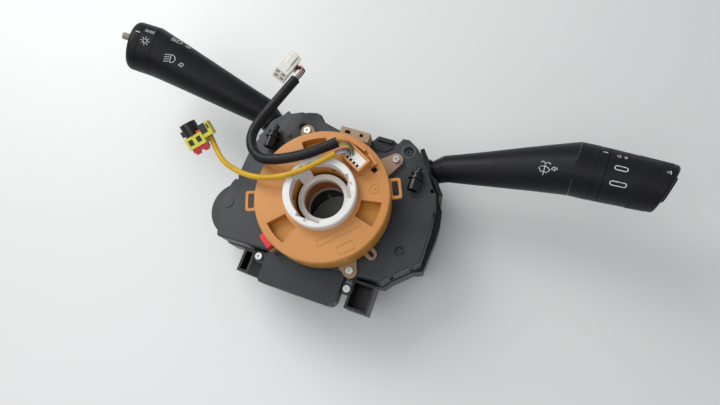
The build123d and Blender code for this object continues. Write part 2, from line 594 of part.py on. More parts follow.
for letter, (teeth, side) in GEARS.items():
    (x, y), turn = gear_place(teeth, side)
    with BuildPart() as measuring_gear:
        with BuildSketch(Plane.XY.offset(RING_GEAR_Z)):
            with BuildLine():
                Polyline(*gear_face(teeth, turn + 180 + 180 / teeth, (x, y)), close=True)
            make_face()
        extrude(amount=GEAR_FACE)
        rod(Plane.XY, x, y, (RING_GEAR_Z + GEAR_FACE, RING_GEAR_Z + GEAR_FACE + 3.0), GEAR_HUB_R)
        rod(Plane.XY, x, y, (RING_GEAR_Z, RING_GEAR_Z + GEAR_FACE + GAP), GEAR_PIN_R + RUN,
            mode=Mode.SUBTRACT)
        rod(Plane.XY, x, y, (RING_GEAR_Z + GEAR_FACE + 3.0 - MAGNET_H, RING_GEAR_Z + GEAR_FACE + 4),
            MAGNET_R,
            mode=Mode.SUBTRACT)
    finish(measuring_gear, f"sensor_gear_{letter}")
    with BuildPart() as magnet:
        rod(Plane.XY, x, y, (RING_GEAR_Z + GEAR_FACE + 3.0 - MAGNET_H, RING_GEAR_Z + GEAR_FACE + 3.0),
            MAGNET_R)
    finish(magnet, f"sensor_magnet_{letter}")

with BuildPart() as ring_gear:
    with BuildSketch(Plane.XY.offset(RING_GEAR_Z)):
        with BuildLine():
            Polyline(*gear_face(RING_TEETH, gear_place(GEAR_A_TEETH, -1)[1]), close=True)
        make_face()
    extrude(amount=GEAR_FACE)
    rod(Plane.XY, 0, 0, (RING_GEAR_Z, RING_GEAR_Z + GEAR_FACE + 2), SLEEVE_R + SLEEVE_WALL)
    rod(Plane.XY, 0, 0, (RING_GEAR_Z - 1, RING_GEAR_Z + GEAR_FACE + 3), SLEEVE_R, mode=Mode.SUBTRACT)
finish(ring_gear, "sensor_ring_gear")

# ---- clock spring: fixed case -------------------------------------------------------------------
BASE_TOP_Z = COVER_TOP_Z + STATOR_BASE_T
EAR_TOP_Z = COVER_TOP_Z + EAR_T
SLEEVE_OUTER_R = SLEEVE_R + SLEEVE_WALL
SKIRT_R = DISC_R - SKIRT_WALL
STATOR_R = SKIRT_R - GAP
SKIRT_LOW_Z = EAR_TOP_Z + GAP + 0.4
POCKET_LOW_Z = DISC_TOP_Z - POCKET_DEPTH
RIBBON_LOW_Z = BASE_TOP_Z + GAP
RIBBON_TOP_Z = POCKET_LOW_Z - POCKET_WALL - 1.2
STATOR_TOP_Z = POCKET_LOW_Z + 3.0
EAR_HOLE = polar(DISC_R + 2.35, -30.3)
EAR_HOLE_SIZE = (5.6, 3.0)
EAR_ROOT_SPREAD = 11.0
CONNECTOR_BLOCK_X = (-7.6, 16.0)
CONNECTOR_BLOCK_Y = (DISC_R + 2.0, DISC_R + 9.8)
CONNECTOR_BLOCK_Z = (69.0, 80.0)
BLOCK_WALL = 1.5
BLOCK_WINDOWS = ((-1.6, 4.4), (9.5, 2.8))  # middle and width
BLOCK_WINDOW_Y = (3.0, 5.6)
BLOCK_PINS = (-3.0, 4.2, 11.4)
BLOCK_PIN = 1.0
BLOCK_PIN_H = 5.0
LOCK_ANGLE = -126.0
LOCK_WIDTH = 11.5
LOCK_R = (DISC_R + 0.6, DISC_R + 5.0)
LOCK_HEIGHT = 9.0
GUIDE_T = 1.6
GUIDE_H = 2.6


def ear(x, y, radius, spread):
    """Flat lug from the case's rim to a screw, tapering from a wide root to the width of its round end."""
    angle = math.degrees(math.atan2(y, x))
    out = Plane(origin=(0, 0, COVER_TOP_Z), x_dir=(*polar(1, angle), 0), z_dir=(0, 0, 1))
    reach = math.hypot(x, y)
    root = (STATOR_R - 2) * math.cos(math.radians(spread))
    half = (STATOR_R - 2) * math.sin(math.radians(spread))
    with BuildSketch(out) as lug:
        with BuildLine():
            Polyline((root, -half), (reach, -radius), (reach, radius), (root, half), close=True)
        make_face()
        with Locations((reach, 0)):
            Circle(radius)
    return lug.sketch


lock_frame = Plane(origin=(0, 0, EAR_TOP_Z), x_dir=(*polar(1, LOCK_ANGLE), 0), z_dir=(0, 0, 1))
with BuildPart() as stator_case:
    rod(Plane.XY, 0, 0, (COVER_TOP_Z, BASE_TOP_Z), STATOR_R)
    for x, y in STATOR_SCREWS:
        extrude(ear(x, y, EAR_R, EAR_ROOT_SPREAD), amount=EAR_T)
    extrude(ear(*EAR_HOLE, EAR_R - 1, EAR_ROOT_SPREAD / 2), amount=EAR_T)
    block(lock_frame, (STATOR_R - 3, LOCK_R[1]), (-LOCK_WIDTH / 2 - GUIDE_T - GAP,
                                                  LOCK_WIDTH / 2 + GUIDE_T + GAP),
          (-EAR_T, 0))
    rod(Plane.XY, 0, 0, (COVER_TOP_Z, EAR_TOP_Z + 2), STATOR_R)
    for side in (-1, 1):
        near, far = sorted((side * (LOCK_WIDTH / 2 + GAP), side * (LOCK_WIDTH / 2 + GAP + GUIDE_T)))
        block(lock_frame, (LOCK_R[0], LOCK_R[1]), (near, far), (-1, GUIDE_H))
    block(Plane.XY, CONNECTOR_BLOCK_X, (STATOR_R - 8, CONNECTOR_BLOCK_Y[1]), (COVER_TOP_Z, EAR_TOP_Z))
    block(Plane.XY, CONNECTOR_BLOCK_X, CONNECTOR_BLOCK_Y, CONNECTOR_BLOCK_Z)
    block(Plane.XY, (CONNECTOR_BLOCK_X[0] + BLOCK_WALL, CONNECTOR_BLOCK_X[1] - BLOCK_WALL),
          (CONNECTOR_BLOCK_Y[0] + BLOCK_WALL, CONNECTOR_BLOCK_Y[1] - BLOCK_WALL),
          (EAR_TOP_Z + BLOCK_WALL, CONNECTOR_BLOCK_Z[1] - BLOCK_WALL), mode=Mode.SUBTRACT)
    for x, width in BLOCK_WINDOWS:
        block(Plane.XY, (x - width / 2, x + width / 2), [CONNECTOR_BLOCK_Y[0] + y for y in BLOCK_WINDOW_Y],
              (CONNECTOR_BLOCK_Z[1] - BLOCK_WALL - 1, CONNECTOR_BLOCK_Z[1] + 1), mode=Mode.SUBTRACT)
    rod(Plane.XY, 0, 0, (EAR_TOP_Z, STATOR_TOP_Z), STATOR_R)
    rod(Plane.XY, 0, 0, (BASE_TOP_Z, STATOR_TOP_Z + 1), STATOR_R - STATOR_WALL, mode=Mode.SUBTRACT)
    rod(Plane.XY, 0, 0, (COVER_TOP_Z - 1, BASE_TOP_Z + 1), SLEEVE_OUTER_R + GAP, mode=Mode.SUBTRACT)
    for x, y in STATOR_SCREWS:
        rod(Plane.XY, x, y, (COVER_TOP_Z - 1, EAR_TOP_Z + 1), SCREW_R + SEAT, mode=Mode.SUBTRACT)
    slot_angle = math.degrees(math.atan2(EAR_HOLE[1], EAR_HOLE[0]))
    with BuildSketch(Plane.XY.offset(COVER_TOP_Z)):
        with Locations(Location((*EAR_HOLE, 0), (0, 0, slot_angle))):
            SlotOverall(*EAR_HOLE_SIZE)
    extrude(amount=EAR_T, mode=Mode.SUBTRACT)
finish(stator_case, "stator_case")

finish(screws(STATOR_SCREWS, EAR_TOP_Z, STATOR_SCREW_LENGTH), "stator_screws")

with BuildPart() as stator_pins:
    for x in BLOCK_PINS:
        near = CONNECTOR_BLOCK_Y[0] + BLOCK_WINDOW_Y[0]
        block(Plane.XY, (x - BLOCK_PIN / 2, x + BLOCK_PIN / 2), (near, near + BLOCK_PIN),
              (EAR_TOP_Z + BLOCK_WALL, EAR_TOP_Z + BLOCK_WALL + BLOCK_PIN_H))
finish(stator_pins, "stator_connector_pins")

# ---- wound ribbon cable in the case -------------------------------------------------------------
RIBBON_R = STATOR_R - STATOR_WALL - 2.65
RIBBON_PITCH = 1.6
RIBBON_T = 0.5
RIBBON_HALF_TURNS = 12

with BuildPart() as ribbon:
    with BuildSketch(Plane.XY.offset(RIBBON_LOW_Z)):
        with BuildLine() as spiral:
            for half in range(RIBBON_HALF_TURNS):
                radius = RIBBON_R - half * RIBBON_PITCH / 2
                middle = (0 if half % 2 == 0 else -RIBBON_PITCH / 2, 0)
                CenterArc(middle, radius, 180 * (half % 2), 180)
        trace(line_width=RIBBON_T)
    extrude(amount=RIBBON_TOP_Z - RIBBON_LOW_Z)
finish(ribbon, "ribbon_cable")

# ---- clock spring: rotor cover ------------------------------------------------------------------
HANDLES = (24.3, -159.0)
HANDLE_WIDTH = 15.4
HANDLE_BAR = 2.0
HANDLE_ROOT_R = DISC_R + 1.2
HANDLE_LOOP = 4.6  # the finger gap between the disc and the bar
HANDLE_REACH = HANDLE_ROOT_R + HANDLE_LOOP + HANDLE_BAR
HANDLE_Z = (84.6, 87.2)
SOCKET_PLACE = (16.6, 30.7)
SOCKET_TURN = -27.5
SOCKET_SIZE = (18.6, 11.6)
SOCKET_WALL = 1.5
SOCKET_TOP_Z = 102.5
LATCH_R = (DISC_R - 6.4, DISC_R - 4.2)
LATCHES = ((70.5, 15.0), (52.0, 12.0))
LATCH_TOP_Z = 97.0
LATCH_HOLE = (30.4, 29.4)
COVER_NECK_R = HUB_OUTER_R - 3.4
NECK_WALL = 1.8
NECK_LOW_Z = 78.0
DIAL_PLACE = (35.4, 15.2)
DIAL_R = 3.7
LABELS = (((22.0, -23.0), 45.0, (34.0, 5.0)), ((30.5, -31.0), 45.0, (12.0, 6.5)))
LABEL_DEPTH = 0.35
LABEL_LINE = 0.5
socket_frame = Plane(origin=(*SOCKET_PLACE, DISC_TOP_Z), x_dir=(*polar(1, SOCKET_TURN), 0), z_dir=(0, 0, 1))

with BuildPart() as rotor_cover:
    rod(Plane.XY, 0, 0, (SKIRT_LOW_Z, DISC_TOP_Z), DISC_R)
    fillet(rotor_cover.edges().group_by(Axis.Z)[-1], 1.4)
    rod(Plane.XY, 0, 0, (SKIRT_LOW_Z, DISC_TOP_Z - DISC_T), SKIRT_R, mode=Mode.SUBTRACT)
    for angle in POCKET_ANGLES:
        extrude(annular_sector(POCKET_LOW_Z - POCKET_WALL, POCKET_INNER_R - POCKET_WALL,
                               POCKET_OUTER_R + POCKET_WALL, angle, POCKET_SPAN + 4),
                amount=POCKET_DEPTH + POCKET_WALL - 1)
        extrude(annular_sector(POCKET_LOW_Z, POCKET_INNER_R, POCKET_OUTER_R, angle, POCKET_SPAN),
                amount=POCKET_DEPTH + 1, mode=Mode.SUBTRACT)
    rod(Plane.XY, 0, 0, (NECK_LOW_Z, DISC_TOP_Z), COVER_NECK_R)
    rod(Plane.XY, 0, 0, (NECK_LOW_Z - 1, DISC_TOP_Z + 1), COVER_NECK_R - NECK_WALL, mode=Mode.SUBTRACT)
    for angle in HANDLES:
        handle = Plane(origin=(0, 0, HANDLE_Z[0]), x_dir=(*polar(1, angle), 0), z_dir=(0, 0, 1))
        with BuildSketch(handle):
            with Locations(((DISC_R - 1 + HANDLE_REACH) / 2, 0)):
                RectangleRounded(HANDLE_REACH - DISC_R + 1, HANDLE_WIDTH, 2.0)
            with Locations(((DISC_R - 2 + HANDLE_REACH) / 2, 0)):
                Rectangle(HANDLE_REACH - DISC_R - 2, HANDLE_WIDTH)
            with Locations((HANDLE_ROOT_R + HANDLE_LOOP / 2, 0)):
                RectangleRounded(HANDLE_LOOP, HANDLE_WIDTH - 2 * HANDLE_BAR, HANDLE_LOOP / 4,
                                 mode=Mode.SUBTRACT)
        extrude(amount=HANDLE_Z[1] - HANDLE_Z[0])
    half_x, half_y = SOCKET_SIZE[0] / 2, SOCKET_SIZE[1] / 2
    block(socket_frame, (-half_x, half_x), (-half_y, half_y), (-1, SOCKET_TOP_Z - DISC_TOP_Z))
    block(socket_frame, (-half_x + SOCKET_WALL, half_x - SOCKET_WALL),
          (-half_y + SOCKET_WALL, half_y - SOCKET_WALL),
          (0, SOCKET_TOP_Z), mode=Mode.SUBTRACT)
    for angle, span in LATCHES:
        extrude(annular_sector(DISC_TOP_Z - 1, *LATCH_R, angle, span), amount=LATCH_TOP_Z - DISC_TOP_Z + 1)
    with Locations(Location((*LATCH_HOLE, DISC_TOP_Z), (0, 0, SOCKET_TURN))):
        Box(4.5, 4.0, DISC_T * 3, mode=Mode.SUBTRACT)
    for place, turn, (long, wide) in LABELS:
        with BuildSketch(Plane.XY.offset(DISC_TOP_Z - LABEL_DEPTH)):
            with Locations(Location((*place, 0), (0, 0, turn))):
                Rectangle(long, wide)
                Rectangle(long - 2 * LABEL_LINE, wide - 2 * LABEL_LINE, mode=Mode.SUBTRACT)
        extrude(amount=1, mode=Mode.SUBTRACT)
    with BuildSketch(Plane.XY.offset(DISC_TOP_Z - LABEL_DEPTH)):
        with Locations(DIAL_PLACE):
            Circle(DIAL_R)
            Circle(DIAL_R - LABEL_LINE, mode=Mode.SUBTRACT)
    extrude(amount=1, mode=Mode.SUBTRACT)
finish(rotor_cover, "rotor_cover")

# ---- clock spring: white hub, sleeve, retaining ring, plug --------------------------------------
HUB_SLOTS = (28.0, 148.0, 268.0)
HUB_WEB_SPAN = 29.0
HUB_SLOT_WIDTH = 4.6
HUB_SLOT_DEPTH = 2.6
HUB_RING_LOW_Z = 76.0
RETAINER_T = 1.6

with BuildPart() as rotor_hub:
    rod(Plane.XY, 0, 0, (DISC_TOP_Z, HUB_TOP_Z), HUB_OUTER_R)
    chamfer(rotor_hub.edges().group_by(Axis.Z)[-1], 0.8)
    rod(Plane.XY, 0, 0, (DISC_TOP_Z - 1, HUB_TOP_Z + 1), HUB_OPENING_R, mode=Mode.SUBTRACT)
    for angle in HUB_SLOTS:
        with BuildSketch(Plane.XY.offset(HUB_RING_LOW_Z + 2)):
            add(annular_sector(0, HUB_RING_R - 2, COVER_NECK_R - NECK_WALL, angle, HUB_WEB_SPAN))
        extrude(amount=HUB_TOP_Z - 3 - HUB_RING_LOW_Z)
        slope = Plane(origin=(*polar(HUB_RING_R - 2, angle), HUB_RING_TOP_Z),
                      x_dir=(*polar(1, angle + 90), 0),
                      z_dir=Vector(*polar(-1, angle), 0.28).normalized())
        block(slope, (-9, 9), (-20, 20), (0, 12), mode=Mode.SUBTRACT)
    rod(Plane.XY, 0, 0, (HUB_RING_LOW_Z, HUB_RING_TOP_Z), HUB_RING_R)
    rod(Plane.XY, 0, 0, (HUB_RING_LOW_Z - 1, HUB_TOP_Z + 1), HUB_BORE_R, mode=Mode.SUBTRACT)
    for angle in HUB_SLOTS:
        tab = Plane(origin=(0, 0, HUB_TOP_Z), x_dir=(*polar(1, angle), 0), z_dir=(0, 0, 1))
        block(tab, (HUB_OPENING_R - 0.6, HUB_OPENING_R + 2.6), (-HUB_SLOT_WIDTH / 2, HUB_SLOT_WIDTH / 2),
              (-HUB_SLOT_DEPTH, 1), mode=Mode.SUBTRACT)
finish(rotor_hub, "rotor_hub")

SLEEVE_LOW_Z = RING_GEAR_Z + GEAR_FACE + 2.0
with BuildPart() as rotor_sleeve:
    tube(Plane.XY, (SLEEVE_LOW_Z, HUB_RING_LOW_Z), SLEEVE_OUTER_R, SLEEVE_R)
finish(rotor_sleeve, "rotor_sleeve")

with BuildPart() as rotor_retainer:
    retainer_top = COVER_TOP_Z - GAP
    tube(Plane.XY, (retainer_top - RETAINER_T, retainer_top), SLEEVE_OUTER_R + 2.4, SLEEVE_OUTER_R)
finish(rotor_retainer, "rotor_retainer")

PLUG_TOP_Z = 101.0
PLUG_PINS = 4
PLUG_HALF = (SOCKET_SIZE[0] / 2 - SOCKET_WALL - 0.1, SOCKET_SIZE[1] / 2 - SOCKET_WALL - 0.1)
with BuildPart() as rotor_plug:
    block(socket_frame, (-PLUG_HALF[0], PLUG_HALF[0]), (-PLUG_HALF[1], PLUG_HALF[1]),
          (0, PLUG_TOP_Z - DISC_TOP_Z))
    for slot in range(PLUG_PINS):
        middle = (slot - (PLUG_PINS - 1) / 2) * 2 * (PLUG_HALF[0] - 1) / PLUG_PINS
        block(socket_frame, (middle - 1.1, middle + 1.1), (-PLUG_HALF[1] - 1, -PLUG_HALF[1] + 2.2),
              (PLUG_TOP_Z - DISC_TOP_Z - 5, PLUG_TOP_Z), mode=Mode.SUBTRACT)
finish(rotor_plug, "rotor_plug")

with BuildPart() as lock_tab:
    block(lock_frame, LOCK_R, (-LOCK_WIDTH / 2, LOCK_WIDTH / 2), (GAP, LOCK_HEIGHT))
    fillet(lock_tab.edges().filter_by(Axis.Z).group_by(Axis.X)[0], 1.0)
finish(lock_tab, "red_lock_tab")

# ---- switch modules: shell, contact board, carrier, cross pin, detent ---------------------------
STEM_GAP = 0.8
NOSE_X = 10.0
INNER_HALF = SHELL_HALF - SHELL_WALL
INNER_LOW = SHELL_LOW + PLATE_T
INNER_HIGH = SHELL_HIGH - PLATE_T
CARRIER_HALF = SLOT_HALF + CARRIER_LID_T
SLOT_GAP = 0.35
BOARD_FRONT_X = 4.5
DETENT_R = 1.9
DETENT_GAP = 0.4
DETENT_BORE_X = -6.0
TAIL_X = -11.5
TAIL_HALF = 3.6
SPRING_WIRE_R = 0.25
SPRING_LENGTH = 3.0
SPRING_TURNS = 3
ROOT_GAP = 0.5
ROOT_SWEEP = 9.5  # degrees of lever swing to leave room for, with a margin


def nose(stalk, radius, mode):
    """Ball about the stalk's pivot, seam to the rear: the flange's mouth and the root follow it."""
    with Locations(stalk.frame().location * Location((0, 0, 0), (0, 0, 180))):
        Sphere(radius, mode=mode)


for stalk in STALKS:
    frame = stalk.frame()
    reach = stalk.flange_r
    rise = stalk.root().Z / math.hypot(stalk.root().X, stalk.root().Y)
    window_half = STEM_R + reach * math.sin(math.radians(TILT_LIMIT)) + STEM_GAP
    window_low = reach * rise - STEM_R - STEM_GAP - 2
    root_angle = math.asin(ROOT_R[stalk.side] / (reach + ROOT_GAP)) + math.radians(ROOT_SWEEP)
    with BuildPart() as swing_room:
        with Locations(stalk.stem_plane(0).location):
            Cone(0, 2 * reach * math.tan(root_angle), 2 * reach,
                 align=(Align.CENTER, Align.CENTER, Align.MIN))
        nose(stalk, reach, Mode.SUBTRACT)
    with BuildPart() as plate:
        block(stalk.edge_frame(), (FLANGE_OFF, FLANGE_OFF + FLANGE_T), FLANGE_SPAN[stalk.side],
              (FLANGE_Z[0] - stalk.pivot.Z, FLANGE_Z[1] - stalk.pivot.Z))
        add(swing_room.part, mode=Mode.SUBTRACT)
    with BuildPart() as shell:
        nose(stalk, reach, Mode.ADD)
        far = reach + 1
        block(frame, (-far, NOSE_X), (-far, far), (-far, far), mode=Mode.SUBTRACT)
        block(frame, (-far, far), (NOSE_HALF[stalk.side], far), (-far, far), mode=Mode.SUBTRACT)
        block(frame, (-far, far), (-far, -NOSE_HALF[stalk.side]), (-far, far), mode=Mode.SUBTRACT)
        block(frame, (-far, far), (-far, far), (SHELL_HIGH, far), mode=Mode.SUBTRACT)
        block(frame, (-far, far), (-far, far), (-far, SHELL_LOW), mode=Mode.SUBTRACT)
        block(frame, (SHELL_REAR, NOSE_X), (-SHELL_HALF, SHELL_HALF), (SHELL_LOW, SHELL_HIGH))
        add(plate.part)
        block(frame, (SHELL_REAR + SHELL_WALL, reach - 2 * SHELL_WALL), (-INNER_HALF, INNER_HALF),
              (INNER_LOW, INNER_HIGH), mode=Mode.SUBTRACT)
        block(frame, (0, reach + 5), (-window_half, window_half), (window_low, INNER_HIGH),
              mode=Mode.SUBTRACT)
        rod(frame, 0, 0, (SHELL_LOW - 1, SHELL_HIGH + 1), TRUNNION_R + RUN, mode=Mode.SUBTRACT)
    finish(shell, f"{stalk.side}_switch_shell")

    with BuildPart() as contact_board:
        block(frame, (SHELL_REAR + 1, BOARD_FRONT_X), (-INNER_HALF, INNER_HALF),
              (SHELL_LOW - BOARD_T, SHELL_LOW))
        rod(frame, 0, 0, (SHELL_LOW - BOARD_T - 1, SHELL_LOW + 1), TRUNNION_R + GAP, mode=Mode.SUBTRACT)
    finish(contact_board, f"{stalk.side}_contact_board")

    with BuildPart() as carrier:
        rod(frame, 0, 0, (-CARRIER_HALF, CARRIER_HALF), CARRIER_R)
        block(frame, (TAIL_X, 0), (-TAIL_HALF, TAIL_HALF), (-TAIL_HALF, TAIL_HALF))
        rod(frame, 0, 0, (SHELL_LOW, SHELL_HIGH), TRUNNION_R)
        block(frame, (-TONGUE_R - SLOT_GAP - 0.4, CARRIER_R + 5),
              (-TONGUE_T / 2 - SLOT_GAP, TONGUE_T / 2 + SLOT_GAP),
              (-SLOT_HALF, SLOT_HALF), mode=Mode.SUBTRACT)
        cross = Plane(origin=stalk.pivot, x_dir=(0, 0, 1), z_dir=frame.y_dir)
        rod(cross, 0, 0, (-CARRIER_R - 1, CARRIER_R + 1), CROSS_PIN_R, mode=Mode.SUBTRACT)
        detent = Plane(origin=stalk.pivot, x_dir=(0, 0, 1), z_dir=-frame.x_dir)
        rod(detent, 0, 0, (-DETENT_BORE_X, -TAIL_X + 1), DETENT_R + RUN, mode=Mode.SUBTRACT)
    finish(carrier, f"{stalk.side}_carrier")

    with BuildPart() as cross_pin:
        rod(cross, 0, 0, (-CARRIER_R + 0.4, CARRIER_R - 0.4), CROSS_PIN_R)
    finish(cross_pin, f"{stalk.side}_cross_pin")

    with BuildPart() as plunger:
        tip = -SHELL_REAR - SHELL_WALL - DETENT_GAP
        rod(detent, 0, 0, (-DETENT_BORE_X + SPRING_LENGTH, tip), DETENT_R)
        fillet(plunger.edges().sort_by(Axis((0, 0, 0), detent.z_dir))[-1], DETENT_R * 0.7)
    finish(plunger, f"{stalk.side}_detent_plunger")

    with BuildPart() as spring:
        coil_start = detent.origin + detent.z_dir * (-DETENT_BORE_X + SPRING_WIRE_R)
        coil_r = DETENT_R - 2 * SPRING_WIRE_R
        coil_length = SPRING_LENGTH - 2 * SPRING_WIRE_R
        with BuildLine() as helix:
            Helix(coil_length / SPRING_TURNS, coil_length, coil_r, center=coil_start,
                  direction=detent.z_dir)
        with BuildSketch(Plane(origin=helix.line @ 0, z_dir=helix.line % 0)):
            Circle(SPRING_WIRE_R)
        sweep(path=helix.line, is_frenet=True)
    finish(spring, f"{stalk.side}_detent_spring")

# ---- levers -------------------------------------------------------------------------------------
BODY_STEPS = ((0.0, 0.0), (0.13, 0.10), (0.55, 0.50),
              (1.0, 1.0))  # share of the length, share of the growth
CAVITY_FROM = 0.12
END_PLATE_T = 2.5
SPINDLE_R = {"left": 4.8, "right": 7.0}
SPINDLE_END = {"left": 19.0, "right": 50.0}


def body_section(stalk, share, growth, shrink=0.0):
    """Circle across the lever's body, this share of the way from its neck to its end."""
    axis = (stalk.end - stalk.neck).normalized()
    normal = stalk.end_dir if share == 1.0 else axis
    if share == 0.0:
        normal = (axis + stalk.root()).normalized()
    level = Vector(0, 0, 1).cross(normal).normalized()
    radius = stalk.neck_r + (stalk.end_r - stalk.neck_r) * growth - shrink
    with BuildSketch(Plane(origin=stalk.neck + (stalk.end - stalk.neck) * share, x_dir=level,
                           z_dir=normal)) as cut:
        Circle(radius)
    return cut.sketch


for stalk in STALKS:
    start = stalk.flange_r + ROOT_GAP
    with BuildPart() as lever:
        with BuildSketch(stalk.stem_plane(start - 3.0)):
            Circle(ROOT_R[stalk.side])
        add(body_section(stalk, 0.0, 0.0))
        loft()
        nose(stalk, start, Mode.SUBTRACT)
        for share, growth in BODY_STEPS:
            add(body_section(stalk, share, growth))
        loft()
        for share, growth in ((CAVITY_FROM, CAVITY_FROM), (0.55, 0.50), (1.0, 1.0)):
            add(body_section(stalk, share, growth, STALK_WALL))
        loft(mode=Mode.SUBTRACT)
        rod(stalk.stem_plane(0), 0, 0, (CARRIER_R + 2.2, start + 6), STEM_R)
        block(stalk.stem_plane(0), (-TONGUE_T / 2, TONGUE_T / 2), (-TONGUE_R, TONGUE_R), (0, CARRIER_R + 4))
        rod(Plane(origin=stalk.pivot - stalk.frame().y_dir * TONGUE_T / 2, z_dir=stalk.frame().y_dir),
            0, 0, (0, TONGUE_T), TONGUE_R)
        rod(Plane(origin=stalk.pivot, z_dir=stalk.frame().y_dir), 0, 0, (-TONGUE_T, TONGUE_T),
            CROSS_PIN_R + RUN,
            mode=Mode.SUBTRACT)
    finish(lever, f"{stalk.side}_lever_body")

# ---- spindles at the levers' ends, rings, knob, button, cap and pin -----------------------------
SPINDLE_PLATE = (-2.5, 0.0)
SPINDLE_PLATE_R = 16.4
RING_SKIN = 2.4
HUB_WALL = 2.4
EDGE = 0.4
DIAL_U = (RING_GAP, 11.6)
DIAL_WEB = (4.0, 7.0)
DIAL_R = (20.4, 20.2)
CAP_R = 20.1
CAP_U = (11.6 + RING_GAP, 20.0)
CAP_ROUND = 5.0
CAP_END_T = 2.8
END_PIN_R = 2.8
END_PIN_PLACE = (0.0, 11.8)
END_PIN_U = (14.2, 26.0)
COLLAR_U = (0.15, 12.6)
COLLAR_RING_R = (19.9, 19.8)
INDEX_U = (12.75, 19.0)
INDEX_R = (19.6, 19.5)
KNOB_U = (19.0 + RING_GAP, 67.0)
KNOB_R = (19.5, 17.3)
KNOB_FACE_U = 60.2  # where the slanted end crosses the axis
KNOB_SLANT = 15.5
KNOB_ROLL = 12.0  # of the slant about the knob's axis
KNOB_ROUND = 2.6
KNOB_CAVITY_END = 50.0
BUTTON_SIZE = (20.0, 13.0, 5.0)
BUTTON_POCKET = 5.5
BUTTON_PROUD = 2.0
BUTTON_TRAVEL = 1.5
BUTTON_LOW = BUTTON_POCKET - BUTTON_TRAVEL - 0.5


def stalk_ring(stalk, span, radii, web, bore):
    """Hollow ring of a knob between two stations, with a hub or web that carries it on the spindle."""
    length = span[1] - span[0]
    with Locations(stalk.end_plane(span[0]).location):
        Cone(radii[0], radii[1], length, align=(Align.CENTER, Align.CENTER, Align.MIN))
    rod(stalk.end_plane(0), 0, 0, span, radii[1] - RING_SKIN, mode=Mode.SUBTRACT)
    rod(stalk.end_plane(0), 0, 0, web, radii[1] - RING_SKIN + 0.5)
    rod(stalk.end_plane(0), 0, 0, (span[0] - 1, span[1] + 1), bore, mode=Mode.SUBTRACT)


for stalk in STALKS:
    with BuildPart() as spindle:
        rod(stalk.end_plane(0), 0, 0, SPINDLE_PLATE, SPINDLE_PLATE_R)
        rod(stalk.end_plane(0), 0, 0, (0, SPINDLE_END[stalk.side]), SPINDLE_R[stalk.side])
    finish(spindle, f"{stalk.side}_spindle")

with BuildPart() as left_dial_ring:
    stalk_ring(LEFT, DIAL_U, DIAL_R, DIAL_WEB, SPINDLE_R["left"] + RUN)
finish(left_dial_ring, "left_dial_ring")

with BuildPart() as left_end_cap:
    axis = LEFT.end_plane(0)
    rod(axis, 0, 0, CAP_U, CAP_R)
    fillet(left_end_cap.edges().sort_by(Axis((0, 0, 0), axis.z_dir))[-1], CAP_ROUND)
    rod(axis, 0, 0, (CAP_U[0], CAP_U[1] - CAP_END_T), CAP_R - CAP_ROUND, mode=Mode.SUBTRACT)
    rod(axis, 0, 0, (CAP_U[0], CAP_U[1] - 1), SPINDLE_R["left"] + HUB_WALL)
    rod(axis, *END_PIN_PLACE, (CAP_U[0] + 1, CAP_U[1] - 1), END_PIN_R + HUB_WALL)
    rod(axis, 0, 0, (CAP_U[0] - 1, SPINDLE_END["left"]), SPINDLE_R["left"], mode=Mode.SUBTRACT)
    rod(axis, *END_PIN_PLACE, (CAP_U[0] - 1, CAP_U[1] + 1), END_PIN_R + RUN, mode=Mode.SUBTRACT)
finish(left_end_cap, "left_end_cap")

with BuildPart() as left_end_pin:
    rod(axis, *END_PIN_PLACE, END_PIN_U, END_PIN_R)
    fillet(left_end_pin.edges().sort_by(Axis((0, 0, 0), axis.z_dir))[-1], 1.0)
finish(left_end_pin, "left_end_pin")

with BuildPart() as right_collar_ring:
    stalk_ring(RIGHT, COLLAR_U, COLLAR_RING_R, (COLLAR_U[0], 2.6), SPINDLE_R["right"])
finish(right_collar_ring, "right_collar_ring")

with BuildPart() as right_index_ring:
    stalk_ring(RIGHT, INDEX_U, INDEX_R, (INDEX_U[0], 15.0), SPINDLE_R["right"])
finish(right_index_ring, "right_index_ring")

knob_axis = RIGHT.end_plane(0)
slant = math.tan(math.radians(KNOB_SLANT))
long_side = knob_axis.x_dir.rotate(Axis((0, 0, 0), tuple(RIGHT.end_dir)), KNOB_ROLL)
knob_face = Plane(origin=RIGHT.end + RIGHT.end_dir * KNOB_FACE_U, x_dir=long_side + RIGHT.end_dir * slant,
                  z_dir=(RIGHT.end_dir - long_side * slant).normalized())
with BuildPart() as right_knob:
    with Locations(RIGHT.end_plane(KNOB_U[0]).location):
        Cone(*KNOB_R, KNOB_U[1] - KNOB_U[0], align=(Align.CENTER, Align.CENTER, Align.MIN))
    block(knob_face, (-40, 40), (-40, 40), (0, 30), mode=Mode.SUBTRACT)
    fillet(right_knob.edges().sort_by(Axis((0, 0, 0), knob_face.z_dir))[-1], KNOB_ROUND)
    rod(knob_axis, 0, 0, (KNOB_U[0], KNOB_CAVITY_END), KNOB_R[1] - RING_SKIN, mode=Mode.SUBTRACT)
    rod(knob_axis, 0, 0, (KNOB_U[0] + 0.5, KNOB_CAVITY_END + 1), SPINDLE_R["right"] + HUB_WALL)
    rod(knob_axis, 0, 0, (KNOB_U[0], SPINDLE_END["right"] + GAP), SPINDLE_R["right"] + RUN,
        mode=Mode.SUBTRACT)
    with BuildSketch(knob_face.offset(-BUTTON_POCKET)):
        RectangleRounded(*BUTTON_SIZE)
    extrude(amount=BUTTON_POCKET + 5, mode=Mode.SUBTRACT)
finish(right_knob, "right_knob")

